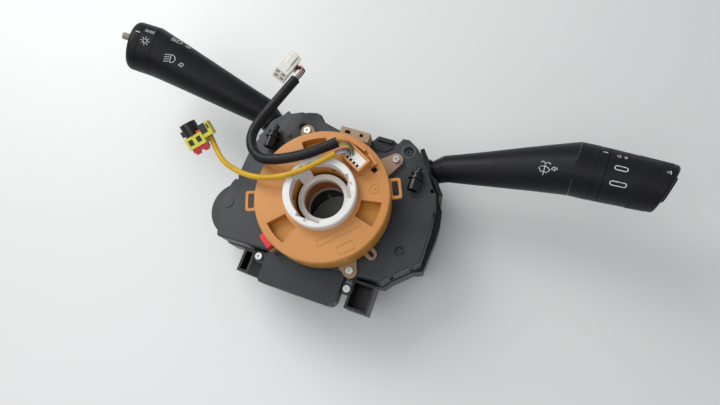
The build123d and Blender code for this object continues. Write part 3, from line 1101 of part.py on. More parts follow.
with BuildPart() as right_end_button:
    long, wide, corner = BUTTON_SIZE
    with BuildSketch(knob_face.offset(-BUTTON_LOW)):
        RectangleRounded(long - 2 * GAP, wide - 2 * GAP, corner - GAP)
    extrude(amount=BUTTON_LOW + BUTTON_PROUD)
    top_edges = right_end_button.faces().sort_by(Axis((0, 0, 0), knob_face.z_dir))[-1].edges()
    fillet(top_edges, 0.9)
finish(right_end_button, "right_end_button")

# ---- leads of the clock spring, with their plugs ------------------------------------------------
BLACK_LEAD_R = 3.8
YELLOW_LEAD_R = 2.1
WIRE_R = 0.6
CURVE_SHARE = 0.45
BLACK_LEAD = [(1.2, 37.2, 105.6), (-11.4, 26.1, 105.6), (-25.9, 17.1, 104.6), (-38.9, 11.9, 102.8),
              (-50.9, 9.9, 100.8), (-60.6, 16.2, 99.0), (-65.6, 26.0, 97.6), (-64.8, 38.5, 96.4),
              (-59.7, 55.2, 95.4), (-51.5, 79.5, 95.0)]
YELLOW_LEAD = [(2.5, 28.4, 105.5), (-7.9, 17.1, 105.3), (-17.8, 8.5, 104.9), (-28.5, 1.5, 103.9),
               (-40.5, -2.8, 101.8), (-54.5, -4.2, 98.0), (-71.4, -1.3, 92.0), (-85.8, 4.4, 86.0),
               (-96.3, 13.2, 82.6), (-102.0, 19.9, 86.7)]
CONNECTOR_WIRES = [(-51.5, 79.5, 95.0), (-48.6, 87.4, 94.4), (-50.3, 94.8, 89.6), (-61.0, 94.1, 85.0)]
BLACK_PLUG_WIRES = [(1.2, 37.2, 105.6), (6.8, 39.2, 107.2), (12.2, 37.2, 105.8), (13.6, 33.9, 101.0)]
YELLOW_PLUG_WIRES = [(2.5, 28.4, 105.5), (7.0, 31.6, 107.2), (11.0, 33.2, 105.8), (12.0, 32.4, 101.0)]
WIRE_STEPS = {"black": (-0.54, 1.5, 0), "yellow": (-0.53, 1.16, 0),
              "connector": (-0.83, 0.4, 1.3)}  # between wires
WHITE_FRAME = aimed((-64.1, 90.9, 90.0), -95.8, 20.0, -24.5)
WHITE_SIZE = (22.0, 11.0, 12.5)
WHITE_SOCKETS = ((-2.5, 2.5), (-2.6, 2.6))
WHITE_SOCKET_HALF = (1.5, 1.5)
WHITE_SOCKET_DEPTH = 7.0
PLUG_FRAME = aimed((-110.7, 13.4, 88.0), 138.6, 28.0, -6.0)


def corner_radii(points):
    """The largest arc that each corner's two runs leave room for."""
    corners = [Vector(*point) for point in points]
    radii = []
    for before, here, after in zip(corners, corners[1:], corners[2:]):
        turn = math.radians((here - before).get_angle(after - here))
        run = min((here - before).length, (after - here).length)
        radii.append(CURVE_SHARE * run / math.tan(turn / 2))
    return radii


def lead(points, radius):
    """Round cord along straight runs joined by tangent arcs."""
    with BuildLine() as route:
        FilletPolyline(*points, radius=corner_radii(points))
    with BuildSketch(Plane(origin=points[0], z_dir=Vector(*points[1]) - Vector(*points[0]))) as section:
        Circle(radius)
    sweep(section.sketch, path=route.line)
    return sum(edge.length for edge in route.edges())


leads = (("black_lead", BLACK_LEAD, BLACK_LEAD_R), ("yellow_lead", YELLOW_LEAD, YELLOW_LEAD_R))
for name, points, radius in leads:
    with BuildPart() as cord:
        length = lead(points, radius)
    finish(cord, name)
    print(name, "length", round(length, 1), "radii", [round(r, 1) for r in corner_radii(points)],
          "volume share", round(cord.part.volume / (math.pi * radius**2 * length), 4))

wire_groups = {
    "plug_wires": ((BLACK_PLUG_WIRES, "black"), (YELLOW_PLUG_WIRES, "yellow")),
    "connector_wires": ((CONNECTOR_WIRES, "connector"),),
}
for name, routes in wire_groups.items():
    with BuildPart() as wires:
        for route, bundle in routes:
            for step in (-1, 0, 1):
                lead([Vector(*point) + Vector(*WIRE_STEPS[bundle]) * step for point in route], WIRE_R)
    finish(wires, name)

# white connector: its mating face, with four terminal holes, looks along the frame's x axis
with BuildPart() as white_connector:
    long, wide, high = WHITE_SIZE
    block(WHITE_FRAME, (-long / 2, long / 2), (-wide / 2, wide / 2), (-high / 2, high / 2))
    fillet(white_connector.edges(), 0.5)
    for y in WHITE_SOCKETS[0]:
        for z in WHITE_SOCKETS[1]:
            block(WHITE_FRAME, (long / 2 - WHITE_SOCKET_DEPTH, long / 2 + 1),
                  (y - WHITE_SOCKET_HALF[0], y + WHITE_SOCKET_HALF[0]),
                  (z - WHITE_SOCKET_HALF[1], z + WHITE_SOCKET_HALF[1]), mode=Mode.SUBTRACT)
    block(WHITE_FRAME, (-long / 2, 2), (-2.2, 2.2), (high / 2 - 1, high / 2 + 1.1))
    block(WHITE_FRAME, (-long / 2, -long / 2 + 7), (wide / 2 - 1, wide / 2 + 1.8),
          (-high / 2 + 1, -high / 2 + 3.4))
finish(white_connector, "white_connector")

# airbag plug: black body with a round nose, yellow cap with two windows, red lock at the back
NOSE_R = 6.4
NOSE_LENGTH = 10.4
NOSE_WALL = 1.2
NOSE_KEY = ((2.0, 6.5), 1.8, 1.6)  # span along the nose, height and half width
CAP_X = (-5.8, 3.3)
CAP_HALF = 7.2
CAP_HIGH = 6.0
CAP_WALL = 1.2
WING_X = (-2.5, 8.0)
WING_Y = (-14.0, -7.4)
WING_HIGH = 5.0
WING_RECESS = 2.2
WINDOW_X = (-3.4, 1.2)
WINDOW_Y = (-3.3, 3.3)
WINDOW_HALF = 1.9
LOCK_T = 3.4
LOBE_T = 1.8
LOBE_Y = (-3.6, 3.6)
plug_nose = Plane(origin=PLUG_FRAME.origin, x_dir=PLUG_FRAME.z_dir, z_dir=PLUG_FRAME.x_dir)
with BuildPart() as plug_body:
    block(PLUG_FRAME, CAP_X, (-CAP_HALF + CAP_WALL, CAP_HALF - CAP_WALL),
          (-CAP_HIGH + CAP_WALL, CAP_HIGH - CAP_WALL))
    rod(plug_nose, 0, 0, (CAP_X[1], CAP_X[1] + NOSE_LENGTH), NOSE_R)
    block(PLUG_FRAME, [CAP_X[1] + x for x in NOSE_KEY[0]], (0, NOSE_R + NOSE_KEY[1]),
          (-NOSE_KEY[2], NOSE_KEY[2]))
    rod(plug_nose, 0, 0, (CAP_X[1] + 2, CAP_X[1] + NOSE_LENGTH + 1), NOSE_R - NOSE_WALL, mode=Mode.SUBTRACT)
    block(PLUG_FRAME, (WING_X[0], WING_X[1] - WING_RECESS), WING_Y,
          (-WING_HIGH + CAP_WALL, WING_HIGH - CAP_WALL))
    block(PLUG_FRAME, (CAP_X[1], WING_X[1] - WING_RECESS), (WING_Y[1] - 1, -NOSE_R + 1), (-2.5, 2.5))
finish(plug_body, "airbag_plug_body")

with BuildPart() as plug_cap:
    block(PLUG_FRAME, CAP_X, (-CAP_HALF, CAP_HALF), (-CAP_HIGH, CAP_HIGH))
    block(PLUG_FRAME, WING_X, (WING_Y[0] - CAP_WALL, WING_Y[1] + CAP_WALL), (-WING_HIGH, WING_HIGH))
    block(PLUG_FRAME, (WING_X[0], CAP_X[1]), (WING_Y[1] - 1, -CAP_HALF + 1), (-WING_HIGH, WING_HIGH))
    block(PLUG_FRAME, (WING_X[0] - 1, WING_X[1] + 1), WING_Y, (-WING_HIGH + CAP_WALL, WING_HIGH - CAP_WALL),
          mode=Mode.SUBTRACT)
    block(PLUG_FRAME, (CAP_X[1], WING_X[1] + 1), (WING_Y[1] - 1, 0), (-WING_HIGH - 1, WING_HIGH + 1),
          mode=Mode.SUBTRACT)
    block(PLUG_FRAME, (CAP_X[0] - 1, CAP_X[1] + 1), (-CAP_HALF + CAP_WALL, CAP_HALF - CAP_WALL),
          (-CAP_HIGH + CAP_WALL, CAP_HIGH - CAP_WALL), mode=Mode.SUBTRACT)
    for y in WINDOW_Y:
        block(PLUG_FRAME, WINDOW_X, (y - WINDOW_HALF, y + WINDOW_HALF),
              (CAP_HIGH - CAP_WALL - 0.5, CAP_HIGH + 1),
              mode=Mode.SUBTRACT)
finish(plug_cap, "airbag_plug_cap")

with BuildPart() as plug_lock:
    block(PLUG_FRAME, (CAP_X[0] - LOCK_T, CAP_X[0]), (-CAP_HALF + 1, CAP_HALF - 1),
          (-CAP_HIGH + 2, CAP_HIGH - 2.5))
    for y in LOBE_Y:
        block(PLUG_FRAME, (CAP_X[0] - LOCK_T - LOBE_T, CAP_X[0] - LOCK_T), (y - LOBE_T, y + LOBE_T),
              (-2, 2))
finish(plug_lock, "airbag_plug_lock")
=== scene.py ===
import bmesh
import bpy
import json
import math
import numpy as np
from mathutils import Matrix, Vector
from mathutils.bvhtree import BVHTree

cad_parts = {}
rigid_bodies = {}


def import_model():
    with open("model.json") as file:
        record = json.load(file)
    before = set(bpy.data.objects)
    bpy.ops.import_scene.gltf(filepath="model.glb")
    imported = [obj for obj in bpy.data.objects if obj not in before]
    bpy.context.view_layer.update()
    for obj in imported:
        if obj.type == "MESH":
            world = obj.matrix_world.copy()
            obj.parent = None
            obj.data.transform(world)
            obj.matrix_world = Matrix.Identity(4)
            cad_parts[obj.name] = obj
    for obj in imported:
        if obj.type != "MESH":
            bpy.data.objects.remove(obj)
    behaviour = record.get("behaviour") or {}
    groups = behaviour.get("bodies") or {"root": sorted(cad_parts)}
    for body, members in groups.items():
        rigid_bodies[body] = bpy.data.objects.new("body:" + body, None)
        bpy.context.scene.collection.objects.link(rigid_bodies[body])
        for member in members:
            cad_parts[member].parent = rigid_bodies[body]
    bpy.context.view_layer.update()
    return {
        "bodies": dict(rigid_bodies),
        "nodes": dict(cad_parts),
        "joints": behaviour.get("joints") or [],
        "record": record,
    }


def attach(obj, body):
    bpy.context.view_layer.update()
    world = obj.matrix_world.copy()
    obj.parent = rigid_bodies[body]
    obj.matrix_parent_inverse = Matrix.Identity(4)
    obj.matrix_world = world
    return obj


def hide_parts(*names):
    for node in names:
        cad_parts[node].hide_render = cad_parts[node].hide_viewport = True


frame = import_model()
nodes = frame["nodes"]

# ==== the table and the view ============================================================================
# A pale table top, a white room and two soft lamps. The viewer stands over the clock spring's disc and
# a little below it, so the turning axis leans slightly away.
view_right = Vector((0.93685, 0.33177, -0.11066))
view_up = Vector((-0.29138, 0.91544, 0.27766))
view_back = Vector((0.19342, -0.22788, 0.95430))
view_place = Vector((0.1004, -0.0814, 0.4452))

camera_data = bpy.data.cameras.new("camera")
camera_data.sensor_width = 36.0
camera_data.lens = 26.0
camera_data.clip_start = 0.01
camera = bpy.data.objects.new("camera", camera_data)
bpy.context.collection.objects.link(camera)
turn = Matrix((view_right, view_up, view_back)).transposed()
camera.matrix_world = Matrix.Translation(view_place) @ turn.to_4x4()
bpy.context.scene.camera = camera
bpy.context.scene.view_settings.view_transform = "Standard"


def rgb(red, green, blue):
    """Linear colour of an everyday 0 to 255 shade."""
    shades = np.array((red, green, blue)) / 255
    linear = np.where(shades > 10 / 255, ((shades + 0.055) / 1.055) ** 2.4, shades / 12.92)
    return tuple(float(shade) for shade in linear) + (1.0,)


class Nodes:
    """Short way to lay out a material: add(kind, sockets) makes one node and joins or sets its inputs."""

    def __init__(self, name):
        self.material = bpy.data.materials.new(name)
        self.material.use_nodes = True
        self.tree = self.material.node_tree
        self.tree.nodes.clear()
        self.out = self.tree.nodes.new("ShaderNodeOutputMaterial")

    def add(self, kind, inputs=None, **settings):
        node = self.tree.nodes.new("ShaderNode" + kind)
        for key, value in settings.items():
            setattr(node, key, value)
        for key, value in (inputs or {}).items():
            if isinstance(value, bpy.types.NodeSocket):
                self.tree.links.new(value, node.inputs[key])
            else:
                node.inputs[key].default_value = value
        return node

    def coords(self, scale=(1, 1, 1), place=(0, 0, 0), turned=(0, 0, 0)):
        """Object coordinates through a mapping: place and turned put a pattern's own axes on the piece."""
        own = self.add("TexCoord").outputs["Object"]
        return self.add("Mapping", {"Vector": own, "Location": place, "Rotation": turned,
                                    "Scale": scale}).outputs[0]

    def ramp(self, factor, *stops):
        node = self.add("ValToRGB", {"Fac": factor})
        ends = node.color_ramp.elements
        while len(ends) < len(stops):
            ends.new(0.5)
        for end, (at, shade) in zip(ends, stops):
            end.position = at
            end.color = shade
        return node.outputs["Color"]

    def math(self, operation, a, b=0.0, c=0.0):
        return self.add("Math", {0: a, 1: b, 2: c}, operation=operation).outputs[0]

    def between(self, value, low, high, to_low, to_high):
        return self.add("MapRange", {"Value": value, "From Min": low, "From Max": high, "To Min": to_low,
                                     "To Max": to_high}).outputs[0]

    def mixed(self, share, shade, other):
        """A shade that goes over to another fixed one as share grows from 0 to 1."""
        node = self.add("Mix", data_type="RGBA")
        sockets = {socket.name: socket for socket in node.inputs if socket.enabled}
        self.tree.links.new(share, sockets["Factor"])
        self.tree.links.new(shade, sockets["A"])
        sockets["B"].default_value = other
        return [socket for socket in node.outputs if socket.enabled][0]

    def finish(self, shader):
        self.tree.links.new(shader.outputs[0], self.out.inputs["Surface"])
        return self.material


def table_top():
    """Painted board: near white, with a broad slow change of shade and a faint grain."""
    n = Nodes("table_top")
    broad = n.add("TexNoise", {"Vector": n.coords((1.6, 1.6, 1.6)), "Scale": 1.0, "Detail": 1.0})
    shade = n.ramp(broad.outputs["Fac"], (0.30, rgb(224, 226, 223)), (0.7, rgb(236, 238, 236)))
    fine = n.add("TexNoise", {"Vector": n.coords((1, 1, 1)), "Scale": 900.0, "Detail": 2.0})
    bump = n.add("Bump", {"Height": fine.outputs["Fac"], "Strength": 0.03, "Distance": 0.0002})
    paint = n.add("BsdfPrincipled", {"Base Color": shade, "Roughness": 0.55, "Normal": bump.outputs[0]})
    return n.finish(paint)


floor_mesh = bpy.data.meshes.new("table")
floor_mesh.from_pydata([(-3, -3, 0), (3, -3, 0), (3, 3, 0), (-3, 3, 0)], [], [(0, 1, 2, 3)])
floor_mesh.materials.append(table_top())
table = bpy.data.objects.new("table", floor_mesh)
bpy.context.collection.objects.link(table)

world = bpy.data.worlds.new("room")
world.use_nodes = True
bpy.context.scene.world = world
backdrop = world.node_tree.nodes["Background"]
backdrop.inputs["Color"].default_value = (0.93, 0.96, 1.0, 1.0)
backdrop.inputs["Strength"].default_value = 0.42


def lamp(name, place, aim, size, power, shade=(1, 1, 1)):
    """Soft square lamp that faces a point."""
    data = bpy.data.lights.new(name, "AREA")
    data.size = size
    data.energy = power
    data.color = shade
    item = bpy.data.objects.new(name, data)
    item.location = place
    item.rotation_euler = (Vector(aim) - Vector(place)).to_track_quat("-Z", "Y").to_euler()
    bpy.context.collection.objects.link(item)


lamp("window", (-0.52, 0.32, 0.66), (0, 0, 0.04), 0.55, 4.1)
lamp("ceiling", (-0.25, -0.45, 1.20), (-0.1, -0.1, 0.0), 1.0, 4.6)


# ==== the two leads =====================================================================================
# Black lead: three thin wires in a black vinyl sleeve, pushed on by hand; the real sleeve folds sharply where
# it was bent back, the cord here turns in a smooth curve. Yellow lead: the airbag pair in an ochre sleeve.
# Both leave the plug in the orange disc.
def mm(points):
    return np.asarray(points, float) / 1000.0


def put(name, mesh, material, body):
    """Hang a finished mesh on a body, with its material."""
    if material is not None:
        mesh.materials.append(material)
    piece = bpy.data.objects.new(name, mesh)
    bpy.context.collection.objects.link(piece)
    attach(piece, body)
    return piece


def cord_curve(name, points, radius, material, body):
    """Smooth round cord: a NURBS line of order 3 through the pull of its route's points."""
    data = bpy.data.curves.new(name, "CURVE")
    data.dimensions = "3D"
    line = data.splines.new("NURBS")
    line.points.add(len(points) - 1)
    for knot, point in zip(line.points, mm(points)):
        knot.co = (*point, 1.0)
    line.order_u = 3
    line.use_endpoint_u = True
    line.resolution_u = 12
    data.resolution_u = 12
    data.bevel_depth = radius / 1000.0
    data.bevel_resolution = 6
    data.use_fill_caps = True
    data.materials.append(material)
    piece = bpy.data.objects.new(name, data)
    bpy.context.collection.objects.link(piece)
    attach(piece, body)
    return piece


def sleeve(name, dark, light, roughness, wrinkle):
    """Vinyl sleeving: soft shine, slow change of shade and shallow wrinkles of a few millimetres."""
    n = Nodes(name)
    slow = n.add("TexNoise", {"Vector": n.coords(), "Scale": 60.0, "Detail": 3.0})
    folds = n.add("TexNoise", {"Vector": n.coords(), "Scale": 320.0, "Detail": 3.0, "Distortion": 0.4})
    shade = n.ramp(slow.outputs["Fac"], (0.3, dark), (0.7, light))
    rough = n.between(folds.outputs["Fac"], 0.3, 0.7, roughness - 0.06, roughness + 0.10)
    bump = n.add("Bump", {"Height": folds.outputs["Fac"], "Strength": wrinkle, "Distance": 0.0008})
    vinyl = n.add("BsdfPrincipled", {"Base Color": shade, "Roughness": rough, "Normal": bump.outputs[0],
                                     "Specular IOR Level": 0.3})
    return n.finish(vinyl)


black_sleeve = sleeve("black_sleeve", rgb(14, 14, 16), rgb(24, 24, 27), 0.42, 0.30)
ochre_sleeve = sleeve("ochre_sleeve", rgb(196, 150, 22), rgb(216, 172, 38), 0.34, 0.14)

black_route = [(1.2, 37.2, 105.6), (-11.4, 26.1, 105.6), (-25.9, 17.1, 104.6), (-38.9, 11.9, 102.8),
               (-50.9, 9.9, 100.8), (-60.6, 16.2, 99.0), (-65.6, 26.0, 97.6), (-64.8, 38.5, 96.4),
               (-59.7, 55.2, 95.4), (-51.5, 79.5, 95.0)]
yellow_route = [(2.5, 28.4, 105.5), (-7.9, 17.1, 105.3), (-17.8, 8.5, 104.9), (-28.5, 1.5, 103.9),
                (-40.5, -2.8, 101.8), (-54.5, -4.2, 98.0), (-71.4, -1.3, 92.0), (-85.8, 4.4, 86.0),
                (-96.3, 13.2, 82.6), (-102.0, 19.9, 86.7)]
black_lead = cord_curve("black_lead_sleeve", black_route, 3.8, black_sleeve, "rotor")
yellow_lead = cord_curve("yellow_lead_sleeve", yellow_route, 2.1, ochre_sleeve, "rotor")
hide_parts("black_lead")
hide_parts("yellow_lead")


# ==== thin wires at the leads' ends =====================================================================
# Stranded copper wires of 1.2 mm in coloured vinyl. Three from each sleeve enter the white plug in the disc,
# and three from the black sleeve's far end enter the cream connector. They are pressed into crimp terminals.
def wire_insulation(name, colour):
    """Thin vinyl skin: one colour with faint darker stretches and a soft shine."""
    n = Nodes(name)
    slow = n.add("TexNoise", {"Vector": n.coords(), "Scale": 500.0, "Detail": 2.0})
    dark = tuple(c * 0.75 for c in colour[:3]) + (1.0,)
    shade = n.ramp(slow.outputs["Fac"], (0.3, dark), (0.65, colour))
    bump = n.add("Bump", {"Height": slow.outputs["Fac"], "Strength": 0.1, "Distance": 0.0002})
    vinyl = n.add("BsdfPrincipled", {"Base Color": shade, "Roughness": 0.35, "Normal": bump.outputs[0]})
    return n.finish(vinyl)


wire_shades = {"orange": rgb(214, 122, 44), "green": rgb(84, 140, 66), "brown": rgb(120, 74, 60),
               "grey": rgb(168, 158, 158), "violet": rgb(146, 118, 134), "pink": rgb(202, 140, 130),
               "dark": rgb(58, 66, 54)}
wire_finish = {shade: wire_insulation(f"wire_{shade}", colour) for shade, colour in wire_shades.items()}
plug_wires_black = [(1.2, 37.2, 105.6), (6.8, 39.2, 107.2), (12.2, 37.2, 105.8), (13.6, 33.9, 101.0)]
plug_wires_yellow = [(2.5, 28.4, 105.5), (7.0, 31.6, 107.2), (11.0, 33.2, 105.8), (12.0, 32.4, 101.0)]
connector_wires = [(-51.5, 79.5, 95.0), (-48.6, 87.4, 94.4), (-50.3, 94.8, 89.6), (-61.0, 94.1, 85.0)]
wire_groups = (("plug_wires", plug_wires_black, (-0.54, 1.5, 0.0), ("green", "brown", "orange")),
               ("plug_wires", plug_wires_yellow, (-0.53, 1.16, 0.0), ("grey", "violet", "brown")),
               ("connector_wires", connector_wires, (-0.83, 0.4, 1.3), ("dark", "brown", "pink")))
thin_wires = {"plug_wires": [], "connector_wires": []}
for node, route, apart, shades in wire_groups:
    for step, shade in zip((-1, 0, 1), shades):
        own = np.asarray(route) + np.asarray(apart) * step
        own[1] += np.array((0.2, -0.1, 0.35)) * step
        own[2] += np.array((-0.1, 0.2, -0.3)) * step
        count = len(thin_wires[node])
        wire = cord_curve(f"{node}_{shade}_{count}", own, 0.6, wire_finish[shade], "rotor")
        thin_wires[node].append(wire)
for node, wires in thin_wires.items():
    for wire in wires:
        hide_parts(node)


def shell_faces(rows, columns, close_rows, close_columns):
    """Four-cornered faces between neighbours of a grid of rows by columns; a closed side joins its ends."""
    row, column = np.meshgrid(np.arange(rows if close_rows else rows - 1),
                              np.arange(columns if close_columns else columns - 1), indexing="ij")
    under, beside = (row + 1) % rows, (column + 1) % columns
    corners = np.stack((row * columns + column, under * columns + column, under * columns + beside,
                        row * columns + beside), -1)
    return corners.reshape(-1, 4)


def skin(name, grids, smooth=True):
    """One mesh of several grids of points in mm: (points, rows closed, columns closed). Where only the
    columns are closed, a flat face shuts each end, and every closed skin is turned to face outwards."""
    points, faces, count = [], [], 0
    for grid, close_rows, close_columns in grids:
        rows, columns = grid.shape[:2]
        points.append(mm(grid.reshape(-1, 3)))
        faces += (shell_faces(rows, columns, close_rows, close_columns) + count).tolist()
        if close_columns and not close_rows:
            faces.append(list(range(count, count + columns)))
            faces.append(list(range(count + (rows - 1) * columns, count + rows * columns)))
        count += rows * columns
    mesh = bpy.data.meshes.new(name)
    mesh.from_pydata(np.concatenate(points).tolist(), [], faces)
    shell = bmesh.new()
    shell.from_mesh(mesh)
    bmesh.ops.recalc_face_normals(shell, faces=shell.faces)
    shell.to_mesh(mesh)
    shell.free()
    mesh.polygons.foreach_set("use_smooth", [smooth] * len(mesh.polygons))
    return mesh


def turned(axis, profile, around=48):
    """A profile of (along, radius) turned about an axis: the point at along on the axis plus radius times
    the circle of its two cross directions. axis is (origin, three directions, the first along it)."""
    origin, (forward, left, upright) = axis
    angle = np.linspace(0, 2 * np.pi, around, endpoint=False)
    along, radius = np.asarray(profile, float).T
    circle = np.cos(angle)[:, None] * left + np.sin(angle)[:, None] * upright
    grid = origin + along[:, None, None] * forward + radius[:, None, None] * circle[None]
    return grid, False, True


sleeve_end = np.asarray(black_route[-1], float)
sleeve_way = sleeve_end - np.asarray(black_route[-2], float)
sleeve_way /= np.linalg.norm(sleeve_way)
sleeve_side = np.cross((0, 0, 1), sleeve_way)
sleeve_side /= np.linalg.norm(sleeve_side)
mouth_axis = (sleeve_end, (sleeve_way, sleeve_side, np.cross(sleeve_way, sleeve_side)))
mouth_profile = [(-1.0, 3.0), (-1.0, 3.86), (0.9, 3.86), (1.15, 3.6), (1.15, 3.2), (0.06, 3.0), (0.05, 0.05)]
mouth = put("black_sleeve_mouth", skin("black_sleeve_mouth", [turned(mouth_axis, mouth_profile)]),
            black_sleeve, "rotor")

# ==== housing: tray and cover ===========================================================================
# Two shells of glass-filled polyamide, moulded dark and lightly grained, the cover a shade greyer than the
# tray. Shot flow leaves faint cloudy streaks, handling leaves dull scuffs and pale dust in the grain.
def polyamide(name, dark, light, roughness=0.45, grain=0.10, scale=1100.0, scuffs=0.35, streak=(1, 1, 1),
              shine=0.42):
    """Moulded plastic: two scales of noise for shade, a fine grain for bump and a sparse set of scuffs."""
    n = Nodes(name)
    cloud = n.add("TexNoise", {"Vector": n.coords(streak), "Scale": 28.0, "Detail": 4.0, "Distortion": 0.3})
    grit = n.add("TexNoise", {"Vector": n.coords(), "Scale": scale, "Detail": 3.0, "Roughness": 0.6})
    scuff = n.add("TexNoise", {"Vector": n.coords((1.0, 0.22, 1.0), turned=(0, 0, 0.7)), "Scale": 190.0,
                               "Detail": 5.0, "Roughness": 0.7})
    worn = n.between(scuff.outputs["Fac"], 0.62, 0.74, 0.0, scuffs)
    shade = n.ramp(cloud.outputs["Fac"], (0.32, dark), (0.68, light))
    pale = tuple(min(1, c * 1.9 + 0.012) for c in light[:3]) + (1.0,)
    rough = n.math("ADD", n.between(cloud.outputs["Fac"], 0.3, 0.7, roughness - 0.05, roughness + 0.07),
                   n.between(scuff.outputs["Fac"], 0.55, 0.75, 0.0, 0.12))
    bump = n.add("Bump", {"Height": grit.outputs["Fac"], "Strength": grain, "Distance": 0.0003})
    shell = n.add("BsdfPrincipled", {"Base Color": n.mixed(worn, shade, pale), "Roughness": rough,
                                     "Normal": bump.outputs[0], "Specular IOR Level": shine})
    return n.finish(shell)


def dress(material, *names):
    """Give CAD pieces their finish."""
    for name in names:
        for slot in nodes[name].material_slots:
            slot.material = material


cover_finish = polyamide("cover_polyamide", rgb(44, 47, 51), rgb(58, 61, 65), 0.44, 0.14, 1000.0, 0.20)
tray_finish = polyamide("tray_polyamide", rgb(20, 20, 23), rgb(30, 31, 34), 0.34, 0.10, 900.0, 0.25)
gloss_black = polyamide("gloss_black", rgb(16, 16, 18), rgb(24, 24, 27), 0.26, 0.03, 900.0, 0.12)
dress(cover_finish, "top_cover", "release_tongue")
dress(tray_finish, "lower_housing", "left_switch_shell", "right_switch_shell")


def bar(line, normals, width, low, high, loop=False):
    """Bar laid along a line: at each point, across is the line's direction crossed with the normal, and the
    section is the rectangle half a width to each side and from low to high on the normal."""
    line = np.asarray(line, float)
    normals = np.broadcast_to(np.asarray(normals, float), line.shape)
    along = np.roll(line, -1, 0) - np.roll(line, 1, 0) if loop else np.gradient(line, axis=0)
    across = np.cross(along, normals)
    across /= np.linalg.norm(across, axis=1, keepdims=True)
    section = np.array(((0.5, low), (0.5, high), (-0.5, high), (-0.5, low)))
    grid = (line[:, None] + across[:, None] * section[None, :, :1] * width
            + normals[:, None] * section[None, :, 1:])
    return grid, loop, True


def rounded(points, step=0.6, passes=3, loop=True):
    """Polyline with its points a step apart, then smoothed: each point moves to the mean of itself twice
    and its two neighbours, a few times over."""
    points = np.asarray(points, float)
    ends = np.roll(points, -1, 0) if loop else points[1:]
    runs = []
    for start, end in zip(points, ends):
        count = max(2, int(np.linalg.norm(end - start) / step))
        runs.append(start + (end - start) * np.arange(count)[:, None] / count)
    line = np.concatenate(runs + ([] if loop else [points[-1:]]))
    for _ in range(passes):
        middle = (np.roll(line, 1, 0) + 2 * line + np.roll(line, -1, 0)) / 4
        line = middle if loop else np.concatenate((line[:1], middle[1:-1], line[-1:]))
    return line


def flat(points, z):
    points = np.asarray(points, float)
    return np.column_stack((points, np.full(len(points), z)))


# Marks on the cover: two closed ridges moulded beside the levers, where the mould's cores were; a painted
# shade, a thin near-black plate, in the slot of a latch; and a paler ring round one screw's boss.
cover_z = 66.0
teardrop = rounded([(55.0, 55.2), (60.3, 56.4), (62.6, 55.0), (65.8, 48.6), (65.2, 46.6), (62.6, 45.3)])
dee = rounded([(-57.4, 58.8), (-55.0, 57.2), (-54.2, 48.8), (-55.9, 46.0), (-61.1, 45.4), (-64.6, 46.8),
               (-64.4, 51.5), (-60.4, 58.6)])
latch_slot = rounded([(-51.6, 43.1), (-48.9, 46.9), (-46.3, 44.6), (-47.3, 42.7), (-49.6, 43.5),
                      (-50.4, 41.8)], 0.5, 1)
core_marks = [bar(flat(line, cover_z), (0, 0, 1), 0.55, -0.2, 0.22, True) for line in (teardrop, dee)]
put("cover_core_ridges", skin("cover_core_ridges", core_marks, False), cover_finish, "housing")
# Near-black finish of painted shade: thin dark plates and boxes stand for slots, holes and chambers in shade.
shadow_finish = polyamide("painted_recess_shade", rgb(7, 7, 8), rgb(13, 13, 15), 0.6, 0.05, 900.0, 0.02)


def plate(outline, low, high):
    """Flat plate: a closed outline carried from one height to the other, shut at both ends."""
    return np.stack((flat(outline, low), flat(outline, high))), False, True


# Painted shade: a thin near-black plate over the latch's slot.
latch_slot_shades = [plate(latch_slot, cover_z - 0.4, cover_z + 0.03)]
put("cover_latch_slot_shade", skin("cover_latch_slot_shade", latch_slot_shades, False), shadow_finish, "housing")
boss_axis = (np.array((46.3, 59.6, cover_z)), np.array(((0, 0, 1), (1, 0, 0), (0, 1, 0)), float))
boss_profile = [(-0.3, 4.3), (-0.3, 5.7), (0.10, 5.7), (0.28, 5.5), (0.28, 4.4), (0.1, 4.25)]
boss_grid, _, _ = turned(boss_axis, boss_profile)
boss_finish = polyamide("boss_polyamide", rgb(72, 76, 82), rgb(84, 88, 94), 0.44, 0.10, 1000.0, 0.15)
put("cover_boss_ring", skin("cover_boss_ring", [(boss_grid, True, True)]), boss_finish, "housing")
dress(gloss_black, "shroud_screw_grommets")
tongue_finish = polyamide("tongue_gloss", rgb(34, 36, 40), rgb(46, 48, 53), 0.24, 0.03, 900.0, 0.12)
dress(tongue_finish, "release_tongue")

# ==== steering angle sensor =============================================================================
# Its own black case with a lid pressed on, screwed between two open pods; inside, a board over two small
# measuring gears in mesh with the ring gear of the sleeve.
sensor_finish = polyamide("sensor_polyamide", rgb(30, 33, 40), rgb(40, 44, 52), 0.36, 0.06, 1300.0, 0.3)
dress(sensor_finish, "sensor_cover", "sensor_housing")


